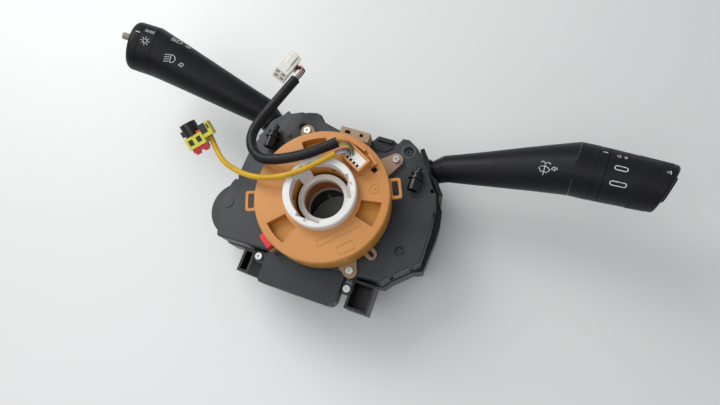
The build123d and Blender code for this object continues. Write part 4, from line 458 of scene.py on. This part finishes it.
# ==== clock spring: stator, orange disc, sleeve =========================================================
# Acetal mouldings: the fixed case in dull tan, the turning disc and its sleeve in orange. Light goes a little
# way into them, so their edges glow; the disc's pockets are painted a deeper yellow, a painted shade in them.
def acetal(name, dark, light, roughness=0.42, painted_recess_shade=None, painted_recess_z=None):
    """Slightly waxy plastic; below a height its colour goes over to a deeper one, a painted shade for
    recesses.
    """
    n = Nodes(name)
    cloud = n.add("TexNoise", {"Vector": n.coords(), "Scale": 34.0, "Detail": 4.0})
    grit = n.add("TexNoise", {"Vector": n.coords(), "Scale": 1400.0, "Detail": 2.0})
    shade = n.ramp(cloud.outputs["Fac"], (0.3, dark), (0.7, light))
    if painted_recess_shade is not None:
        height = n.add("SeparateXYZ", {"Vector": n.coords()}).outputs["Z"]
        recess_shade_share = n.between(height, painted_recess_z[0], painted_recess_z[1], 1.0, 0.0)
        shade = n.mixed(recess_shade_share, shade, painted_recess_shade)
    bump = n.add("Bump", {"Height": grit.outputs["Fac"], "Strength": 0.06, "Distance": 0.0003})
    rough = n.between(cloud.outputs["Fac"], 0.3, 0.7, roughness - 0.05, roughness + 0.08)
    plastic = n.add("BsdfPrincipled", {"Base Color": shade, "Roughness": rough, "Normal": bump.outputs[0],
                                       "Subsurface Weight": 0.08, "Subsurface Radius": (0.004, 0.002, 0.001),
                                       "Subsurface Scale": 0.6})
    return n.finish(plastic)


# Below 89.5 mm the disc goes over to a deeper yellow, fully so at 84 mm: painted shade in its pockets.
disc_finish = acetal("orange_acetal", rgb(200, 134, 66), rgb(210, 146, 78), 0.42, rgb(196, 134, 40),
                     (0.0840, 0.0895))
sleeve_finish = acetal("sleeve_acetal", rgb(178, 112, 60), rgb(192, 126, 70), 0.42)
stator_finish = acetal("tan_acetal", rgb(156, 126, 100), rgb(172, 142, 116), 0.48)
dress(disc_finish, "rotor_cover")
dress(sleeve_finish, "rotor_sleeve")
dress(stator_finish, "stator_case")
line_finish = acetal("disc_seam", rgb(160, 96, 44), rgb(176, 112, 58), 0.5)
disc_z = 92.0


def spoke(angle, near, far, bend=0.0):
    """Straight hairline on the disc from one radius to another; bend swings its outer end by degrees."""
    share = np.linspace(0, 1, 24)
    radius, turn = near + (far - near) * share, np.radians(angle + bend * share)
    return np.column_stack((radius * np.cos(turn), radius * np.sin(turn), np.full(24, disc_z)))


# Hairlines on the disc where the melt's fronts met, and the date wheel's ring of ticks round an arrow.
melt_lines = [(-172.0, 29.0, 47.0, 2.0), (-179.0, 30.0, 47.0, 1.0), (172.0, 30.0, 46.5, -2.0),
              (164.0, 30.0, 46.0, 1.5), (156.0, 30.0, 47.0, 0.0), (-107.0, 28.5, 45.0, -1.0),
              (-137.0, 28.5, 46.5, 3.0), (140.0, 33.0, 45.0, 6.0), (133.0, 33.0, 45.5, -4.0)]
hairlines = [bar(spoke(*line), (0, 0, 1), 0.16, -0.1, 0.025) for line in melt_lines]
wheel = np.array((35.4, 15.2))
for step in range(12):
    spin = math.radians(30 * step)
    way = np.array((math.cos(spin), math.sin(spin)))
    tick = flat([wheel + way * 2.35, wheel + way * 2.6, wheel + way * 2.85], disc_z)
    hairlines.append(bar(tick, (0, 0, 1), 0.28, -0.1, 0.05))
for start, end in (((-1.5, -1.0), (1.3, 0.9)), ((1.3, 0.9), (0.2, 1.1)), ((1.3, 0.9), (1.0, -0.3))):
    start, end = wheel + np.array(start), wheel + np.array(end)
    hairlines.append(bar(flat([start, (start + end) / 2, end], disc_z), (0, 0, 1), 0.3, -0.1, 0.05))
put("disc_hairlines", skin("disc_hairlines", hairlines, False), line_finish, "rotor")


def neck_patch(angle, span, low, high, radius=21.35):
    """Thin curved plate on the disc's inner neck, between two heights and across a span of degrees."""
    turn = np.radians(angle + span * np.linspace(-0.5, 0.5, 9))
    ring = np.column_stack((np.cos(turn), np.sin(turn)))
    loops = [np.column_stack((ring * r, np.full(9, z))) for r, z in
             ((radius, low), (radius, high), (radius + 0.3, high), (radius + 0.3, low))]
    return np.stack(loops, 1), False, True


# Painted shade for the keyholes in the neck's wall, where the hub's clips snap in: thin near-black plates on
# the wall, each a square with a narrow foot.
keyhole_shades = [patch for angle in (88.0, 200.0, 322.0)
            for patch in (neck_patch(angle, 10.0, 86.6, 88.6), neck_patch(angle, 4.5, 84.8, 86.6))]
put("neck_keyhole_shade", skin("neck_keyhole_shade", keyhole_shades, False), shadow_finish, "rotor")

# ==== white parts =======================================================================================
# Hub, plug, gears and carriers are natural white acetal; the hub's ring carries the wheel and is handled,
# so its rim has faint grey scuffs, which the finish here leaves out.
white_finish = acetal("white_acetal", rgb(226, 226, 222), rgb(236, 236, 233), 0.36)
cream_finish = acetal("cream_nylon", rgb(242, 239, 226), rgb(248, 246, 238), 0.38)
dress(white_finish, "rotor_hub", "rotor_plug", "rotor_retainer", "left_carrier", "right_carrier",
      "sensor_gear_a", "sensor_gear_b", "sensor_ring_gear", "left_spindle", "right_spindle")
dress(cream_finish, "white_connector")


def local_box(frame, x, y, z):
    """Box between two limits along each direction of a frame: its four side edges as a closed grid."""
    origin, axes = frame
    ring = np.array([(x[0], y[0]), (x[1], y[0]), (x[1], y[1]), (x[0], y[1])])
    loops = [origin + np.column_stack((ring, np.full(4, height))) @ axes for height in z]
    return np.stack(loops), False, True


# Painted shade: near-black boxes at the back of the plug's four slots, where the contact chambers lie in
# shade.
swing = math.radians(-27.5)
socket_frame = (np.array((16.6, 30.7, 92.0)), np.array(((math.cos(swing), math.sin(swing), 0),
                                                        (-math.sin(swing), math.cos(swing), 0), (0, 0, 1))))
chambers = [local_box(socket_frame, (place - 1.04, place + 1.04), (-4.17, -2.02), (4.02, 7.4))
            for place in (-5.03, -1.68, 1.68, 5.03)]
put("plug_chamber_shade", skin("plug_chamber_shade", chambers, False), shadow_finish, "rotor")


def aimed(origin, bearing, pitch, roll):
    """Frame whose first direction points along a bearing, raised by a pitch; the other two are its level
    side and its upright, rolled about it."""
    b, p, r = np.radians((bearing, pitch, roll))
    forward = np.array((np.cos(p) * np.cos(b), np.cos(p) * np.sin(b), np.sin(p)))
    level = np.array((-np.sin(b), np.cos(b), 0.0))
    left = level * np.cos(r) + np.cross(forward, level) * np.sin(r)
    return np.asarray(origin, float), np.array((forward, left, np.cross(forward, left)))


# Crimped terminals in the cream connector's four chambers: a brass box sprung shut round a slot, and a
# painted shade, a thin near-black plate, at each chamber's mouth. The latch's slot down its side is painted
# shade too.
connector_frame = aimed((-64.1, 90.9, 90.0), -95.8, 20.0, -24.5)
terminal_finish = polyamide("tarnished_brass", rgb(122, 84, 40), rgb(160, 116, 62), 0.4, 0.1, 1500.0, 0.2)
terminals, mouth_shades = [], []
for y in (-2.5, 2.5):
    for z in (-2.6, 2.6):
        mouth_shades.append(local_box(connector_frame, (4.1, 4.6), (y - 1.45, y + 1.45), (z - 1.45, z + 1.45)))
        for near, far, low, high in ((-1.25, 1.25, -1.3, -0.95), (-1.25, 1.25, 0.95, 1.3),
                                     (-1.25, -0.95, -0.95, 0.95), (0.95, 1.25, -0.95, 0.95)):
            terminals.append(local_box(connector_frame, (4.5, 9.6), (y + near, y + far), (z + low, z + high)))
terminals = put("connector_terminals", skin("connector_terminals", terminals, False), terminal_finish,
                "rotor")
mouth_shades = put("connector_mouth_shade", skin("connector_mouth_shade", mouth_shades, False), shadow_finish, "rotor")
# Painted shade: two thin near-black bars along the latch's slot.
slit_shades = [local_box(connector_frame, (-9.0, 10.0), (-5.53, -5.2), (3.9, 4.3)),
        local_box(connector_frame, (-8.0, 9.0), (2.9, 3.25), (6.0, 6.29))]
slit_shades = put("connector_latch_slit_shade", skin("connector_latch_slit_shade", slit_shades, False), shadow_finish, "rotor")

# ==== airbag plug and red locks =========================================================================
# Black nylon plug with a yellow-green spring cap and a red secondary lock; a red tab also holds the disc.
red_finish = acetal("red_nylon", rgb(214, 20, 36), rgb(230, 32, 50), 0.30)
yellow_finish = acetal("yellow_nylon", rgb(206, 196, 40), rgb(222, 214, 62), 0.34)
dress(red_finish, "red_lock_tab", "airbag_plug_lock")
dress(yellow_finish, "airbag_plug_cap")
dress(gloss_black, "airbag_plug_body")

# The cap's side wing is a frame round a black latch with one window, and the lock's nose shows beside it.
plug_frame = aimed((-110.7, 13.4, 88.0), 138.6, 28.0, -6.0)
latch = [local_box(plug_frame, (0.4, 8.05), (-12.4, -6.9), (3.9, 5.06)),
         local_box(plug_frame, (2.6, 6.4), (-14.4, -13.0), (4.6, 5.04))]
latch = put("airbag_latch", skin("airbag_latch", latch, False), gloss_black, "rotor")
wedge = [local_box(plug_frame, (3.2, 5.2), (-7.2, -4.0), (3.2, 5.6))]
wedge = put("airbag_lock_nose", skin("airbag_lock_nose", wedge, False), red_finish, "rotor")


# ==== metal =============================================================================================
# Screws are bright zinc plated steel, springs are bare wire, contact pins are tinned brass.
def metal(name, dark, light, roughness, scale=700.0):
    """Plated metal: patchy shade and roughness with fine tool marks."""
    n = Nodes(name)
    patch = n.add("TexNoise", {"Vector": n.coords(), "Scale": scale, "Detail": 4.0})
    marks = n.add("TexNoise", {"Vector": n.coords((1, 8, 1)), "Scale": scale * 2, "Detail": 2.0})
    shade = n.ramp(patch.outputs["Fac"], (0.3, dark), (0.7, light))
    rough = n.between(patch.outputs["Fac"], 0.3, 0.7, roughness - 0.06, roughness + 0.10)
    bump = n.add("Bump", {"Height": marks.outputs["Fac"], "Strength": 0.12, "Distance": 0.0001})
    plate = n.add("BsdfPrincipled", {"Base Color": shade, "Roughness": rough, "Metallic": 1.0,
                                     "Normal": bump.outputs[0]})
    return n.finish(plate)


zinc = metal("zinc_plate", rgb(165, 168, 162), rgb(205, 206, 200), 0.30)
wire_steel = metal("spring_wire", rgb(150, 150, 150), rgb(190, 190, 190), 0.22)
brass = metal("tinned_brass", rgb(190, 165, 110), rgb(215, 195, 140), 0.28)
black_steel = metal("phosphated_steel", rgb(52, 52, 54), rgb(88, 88, 90), 0.38)
magnet_finish = metal("sintered_magnet", rgb(60, 60, 64), rgb(90, 90, 95), 0.5)


# The shroud screws' threads: a ridge that climbs the shank, and a grey hexagon socket in each head.
def helix_ridge(axis, near, far, pitch, root, height, width):
    """Thread: rows climb from near to far along the axis by one pitch a turn; the section is a triangle
    of the given width with its point a height above the root, faded in at both ends."""
    origin, (forward, left, upright) = axis
    climb = np.linspace(near, far, int((far - near) / pitch * 28))
    angle = 2 * np.pi * (climb - near) / pitch
    fade = np.clip(np.minimum(climb - near, far - climb) / pitch * 1.5, 0.05, 1)
    radial = np.cos(angle)[:, None] * left + np.sin(angle)[:, None] * upright
    section = np.array(((-0.5, -0.1), (0.0, 1.0), (0.5, -0.1)))
    grid = (origin + (climb[:, None] + section[None, :, 0] * width)[..., None] * forward
            + (root + section[None, :, 1] * height * fade[:, None])[..., None] * radial[:, None])
    return grid, False, True


threads, sockets = [], []
for place in ((59.1, 42.0), (-60.0, 42.0)):
    screw_axis = (np.array((*place, 72.0)), np.array(((0, -1, 0), (0, 0, 1), (-1, 0, 0)), float))
    threads.append(helix_ridge(screw_axis, -6.6, -0.4, 1.55, 1.85, 0.55, 0.8))
    angle = np.radians(np.arange(6) * 60.0)
    hexagon = 1.5 * (np.cos(angle)[:, None] * screw_axis[1][1] + np.sin(angle)[:, None] * screw_axis[1][2])
    ends = [screw_axis[0] + along * screw_axis[1][0] + hexagon for along in (10.5, 11.03)]
    sockets.append((np.stack(ends), False, True))
put("shroud_screw_threads", skin("shroud_screw_threads", threads), black_steel, "housing")
put("shroud_screw_sockets", skin("shroud_screw_sockets", sockets, False), magnet_finish, "housing")
dress(zinc, "stator_screws", "sensor_screws", "clamp_screw", "clamp_nut", "left_cross_pin", "right_cross_pin")
dress(black_steel, "cover_screws", "shroud_screws")
dress(wire_steel, "left_detent_spring", "right_detent_spring", "left_detent_plunger", "right_detent_plunger")
dress(brass, "connector_pins", "stator_connector_pins")
dress(magnet_finish, "sensor_magnet_a", "sensor_magnet_b")

# ==== boards and ribbon =================================================================================
# Glass epoxy boards under green solder mask, and the flat cable wound in the clock spring's case.
board_finish = polyamide("solder_mask", rgb(12, 70, 40), rgb(18, 92, 54), 0.30, 0.02, 1200.0, 0.05)
ribbon_finish = polyamide("flat_cable_film", rgb(190, 190, 184), rgb(210, 210, 205), 0.25, 0.02, 900.0, 0.05)
dress(board_finish, "circuit_board", "sensor_board", "left_contact_board", "right_contact_board")
dress(ribbon_finish, "ribbon_cable")

# ==== stalks ============================================================================================
# Levers, rings and knobs are moulded in black with an even, velvety grain; the seams between them are thin
# dark gaps, and every sign is pad printed in white.
stalk_finish = polyamide("stalk_grain", rgb(20, 20, 23), rgb(27, 27, 30), 0.42, 0.20, 1500.0, 0.08, shine=0.2)
dress(stalk_finish, "left_lever_body", "right_lever_body", "left_dial_ring", "left_end_cap",
      "right_collar_ring", "right_index_ring", "right_knob", "right_end_button")
pin_finish = polyamide("grey_pin", rgb(128, 120, 106), rgb(150, 142, 128), 0.45, 0.08, 1200.0, 0.2)
dress(pin_finish, "left_end_pin")


# The knob's grip: low rounded ridges run round it like a coarse thread, from a smooth band to near its
# slanted end, and leave a smooth field for the thumb.
knob_end = np.array((166.0, 78.0, 76.0))
knob_way = np.array((0.985, -0.018, 0.171)) / np.linalg.norm((0.985, -0.018, 0.171))
tip_end = np.array((-183.8, 78.9, 78.0))
tip_way = np.array((-56.0, -6.0, 21.0)) / np.linalg.norm((-56.0, -6.0, 21.0))


def lever_axis(end, way):
    """Frame of a lever's outer end: outwards, level and upright."""
    level = np.cross((0, 0, 1), way)
    level /= np.linalg.norm(level)
    return end, np.array((way, level, np.cross(way, level)))


right_axis, left_axis = lever_axis(knob_end, knob_way), lever_axis(tip_end, tip_way)


def smooth_step(value, low, high):
    share = np.clip((value - low) / (high - low), 0, 1)
    return share * share * (3 - 2 * share)


KNOB_MIDDLE, KNOB_SLANT, KNOB_ROLL = 60.2, 15.5, 12.0
KNOB_ROOT, KNOB_ROOT_R, KNOB_TAPER = 19.35, 19.5, 2.0 / 41.65
GRIP_MARGIN, RIDGE_PITCH, RIDGE_HEIGHT, GRIP_SINK = 4.2, 3.05, 0.30, 0.13


def knob_grip(axis, ridges, start, field):
    """Sleeve on the knob: radius is the knob's taper plus a ridge of half a cosine across the ridges; their
    phase grows with the angle and with the way along. Two inner rows close it below the knob's skin."""
    origin, (forward, left, upright) = axis
    angle = np.linspace(0, 2 * np.pi, ridges * 14, endpoint=False)
    slant = math.tan(math.radians(KNOB_SLANT)) * 17.5
    finish_line = KNOB_MIDDLE + slant * np.cos(angle - math.radians(KNOB_ROLL)) - GRIP_MARGIN
    share = np.linspace(0, 1, 80)
    along = start + share[:, None] * (finish_line - start)[None]
    radius = KNOB_ROOT_R - KNOB_TAPER * (along - KNOB_ROOT)
    phase = ridges * angle[None] - 2 * np.pi * (along - start) / RIDGE_PITCH
    ridge = np.clip(np.cos(phase) * 1.4 - 0.25, -0.4, 1) * RIDGE_HEIGHT
    edge = smooth_step(share, 0, 0.05) * smooth_step(1 - share, 0, 0.05)
    middle, half, near, far = field
    apart = np.abs((np.degrees(angle) - middle + 180) % 360 - 180)
    thumb = smooth_step(apart, half, half + 4)[None] + smooth_step(along, far, far + 1.0)
    height = (ridge + GRIP_SINK) * edge[:, None] * np.clip(thumb, 0, 1) - GRIP_SINK
    radius = np.concatenate((radius[:1] - 0.5, radius + height, radius[-1:] - 0.5))
    along = np.concatenate((along[:1], along, along[-1:]))
    circle = np.cos(angle)[:, None] * left + np.sin(angle)[:, None] * upright
    grid = origin + along[..., None] * forward + radius[..., None] * circle[None]
    return grid, True, True


grip = skin("knob_grip_ridges", [knob_grip(right_axis, 30, 37.5, (70.0, 34.0, 38.0, 52.0))])
put("knob_grip_ridges", grip, stalk_finish, "right_grip")


# Signs pad printed in white, each one thin ink lines that follow the surface: the usual road vehicle signs
# for lamps and washer, index dashes, and the marks of the wiper's steps.
def ink():
    n = Nodes("white_ink")
    worn = n.add("TexNoise", {"Vector": n.coords(), "Scale": 900.0, "Detail": 3.0})
    shade = n.ramp(worn.outputs["Fac"], (0.32, rgb(150, 152, 154)), (0.55, rgb(214, 216, 218)))
    bump = n.add("Bump", {"Height": worn.outputs["Fac"], "Strength": 0.1, "Distance": 0.0001})
    paint = n.add("BsdfPrincipled", {"Base Color": shade, "Roughness": 0.5, "Normal": bump.outputs[0]})
    return n.finish(paint)


def arc(x, y, wide, high, start, end, count=24):
    """Points of an ellipse's arc: centre plus the half axes times the cosine and sine of the angle."""
    angle = np.radians(np.linspace(start, end, count))
    return np.column_stack((x + wide * np.cos(angle), y + high * np.sin(angle)))


def lamp_dee(x, y, size, way=1):
    """Headlamp's outline: a straight back and a bulging front."""
    front = arc(x, y, 1.25 * size * way, size, -90, 90)
    return [np.concatenate((front, front[:1]))]


def beam(x, y, size, drop, count=4):
    """Light beams: short parallel lines, one above another, each falling by drop towards its far end."""
    return [np.array(((x, height), (x - 1.3 * size, height - drop)))
            for height in np.linspace(y - 0.85 * size, y + 0.85 * size, count)]


def arrow(x, y, size, turn):
    """Hollow block arrow that points along a turn in degrees."""
    shape = np.array(((-1, 0.3), (-0.1, 0.3), (-0.1, 0.8), (1.0, 0), (-0.1, -0.8), (-0.1, -0.3), (-1, -0.3),
                      (-1, 0.3))) * size
    t = math.radians(turn)
    spin = np.array(((math.cos(t), math.sin(t)), (-math.sin(t), math.cos(t))))
    return [shape @ spin + (x, y)]


def sun(x, y, size):
    """Lamp sign: a ring with eight rays."""
    lines = [arc(x, y, 0.45 * size, 0.45 * size, 0, 360)]
    for turn in range(0, 360, 45):
        way = np.array((math.cos(math.radians(turn)), math.sin(math.radians(turn))))
        lines.append(np.array(((x, y) + way * 0.66 * size, (x, y) + way * size)))
    return lines


def pill(x, y, long, high):
    """Slot outline: two half circles joined by straight sides."""
    half = long / 2 - high / 2
    shape = np.concatenate((arc(x + half, y, high / 2, high / 2, -90, 90),
                            arc(x - half, y, high / 2, high / 2, 90, 270)))
    return [np.concatenate((shape, shape[:1]))]


def washer(x, y, size):
    """Windscreen washer: a fan shaped screen, the wiper's line, a jet below and drops that curl above."""
    top, low = arc(x, y - 1.2 * size, 1.35 * size, 1.6 * size, 140, 40), arc(x, y - 1.2 * size, 0.62 * size,
                                                                          0.5 * size, 40, 140)
    screen = np.concatenate((top, low, top[:1]))
    drops = [arc(x + side * 0.5 * size, y + 0.85 * size, 0.42 * size, 0.5 * size, *span, 10)
             for side, span in ((1, (170, 20)), (-1, (10, 160)))]
    return [screen, np.array(((x, y - 1.5 * size), (x, y + 0.75 * size)))] + drops


def side_lamps(x, y, size):
    """Two small lamps back to back, each with three short rays that spread outwards."""
    lines = []
    for way in (-1, 1):
        lines += lamp_dee(x + way * 0.45 * size, y, size * 0.8, way)
        for turn in (-28, 0, 28):
            ray = np.array((way * math.cos(math.radians(turn)), math.sin(math.radians(turn))))
            start = np.array((x + way * 0.45 * size, y))
            lines.append(np.array((start + ray * 1.4 * size, start + ray * 2.2 * size)))
    return lines


def printed(name, node, axis, along, around, drawing, width, body, reading):
    """Ink on a lever: a drawing's first number goes along the axis, towards the root where reading is -1,
    and its second round it over a 20 mm radius; a ray from outside finds the skin, and the ink lies on it."""
    target = nodes[node]
    tree = BVHTree.FromPolygons([v.co.copy() for v in target.data.vertices],
                                [tuple(p.vertices) for p in target.data.polygons])
    origin, (forward, left, upright) = axis
    bars = []
    for line in drawing:
        runs = [line[:1]]
        for start, end in zip(line, line[1:]):
            count = max(1, int(np.linalg.norm(end - start) / 0.35))
            runs.append(start + (end - start) * (np.arange(1, count + 1) / count)[:, None])
        line = np.concatenate(runs)
        station = along + reading * line[:, 0]
        turn = np.radians(around) - reading * line[:, 1] / 20.0
        radial = np.cos(turn)[:, None] * left + np.sin(turn)[:, None] * upright
        middle = origin + station[:, None] * forward
        hits = [tree.ray_cast(Vector(mm(m + r * 70)), Vector(-r)) for m, r in zip(middle, radial)]
        if any(hit[0] is None for hit in hits):
            raise ValueError(f"{name} misses {node}")
        bars.append(bar(np.array([hit[0] for hit in hits]) * 1000, radial, width, -0.25, 0.05))
    return put(name, skin(name, bars, False), ink_finish, body)


ink_finish = ink()
stroke = [np.array(((-1.6, 0.0), (1.6, 0.0)))]
SIGNS = (
    ("cap_dash_print", "left_end_cap", left_axis, 13.8, 100.0, stroke, 0.8, "left_stalk", -1),
    ("lamp_print", "left_dial_ring", left_axis, 6.2, 83.1, sun(0, 0, 3.6), 0.5, "left_dial", -1),
    ("side_lamps_print", "left_dial_ring", left_axis, 5.4, 110.9, side_lamps(0, 0, 1.5), 0.45,
     "left_dial", -1),
    ("high_beam_print", "left_lever_body", left_axis, -15.6, 118.6,
     lamp_dee(0.6, 0, 3.0) + beam(-0.4, 0, 3.0, 0.0), 0.5, "left_stalk", -1),
    ("high_beam_arrow_print", "left_lever_body", left_axis, -25.3, 113.5, arrow(0, 0, 2.0, 200), 0.45,
     "left_stalk", -1),
    ("low_beam_print", "left_lever_body", left_axis, -15.8, 63.3,
     lamp_dee(0.6, 0, 3.0) + beam(-0.4, 0, 3.0, 1.0), 0.5, "left_stalk", -1),
    ("low_beam_arrow_print", "left_lever_body", left_axis, -25.9, 57.3, arrow(0, 0, 2.0, 20), 0.45,
     "left_stalk", -1),
    ("washer_print", "right_lever_body", right_axis, -19.3, 126.2, washer(0, 0, 3.7), 0.5, "right_stalk", 1),
    ("washer_arrow_print", "right_lever_body", right_axis, -12.8, 122.8, arrow(0, 0, 2.0, 200), 0.45,
     "right_stalk", 1),
    ("index_dash_print", "right_index_ring", right_axis, 16.3, 60.3, stroke, 1.0, "right_stalk", 1),
    ("knob_ring_print", "right_knob", right_axis, 25.2, 62.9, [arc(0, 0, 1.1, 1.1, 0, 360)], 0.45,
     "right_grip", 1),
    ("knob_dee_print", "right_knob", right_axis, 29.4, 62.4, lamp_dee(-0.5, 0, 1.1), 0.45, "right_grip", 1),
    ("knob_slow_print", "right_knob", right_axis, 28.3, 92.0, pill(0, 0, 8.2, 3.0), 0.65, "right_grip", 1),
    ("knob_fast_print", "right_knob", right_axis, 28.9, 124.2, pill(0, 0, 10.3, 3.0), 0.65, "right_grip", 1),
    ("knob_mark_print", "right_knob", right_axis, 56.6, 74.4,
     [np.array(((-1.3, 0.0), (1.0, 1.3), (1.0, -1.3), (-1.3, 0.0)))], 0.7, "right_grip", 1))
for sign in SIGNS:
    printed(*sign)
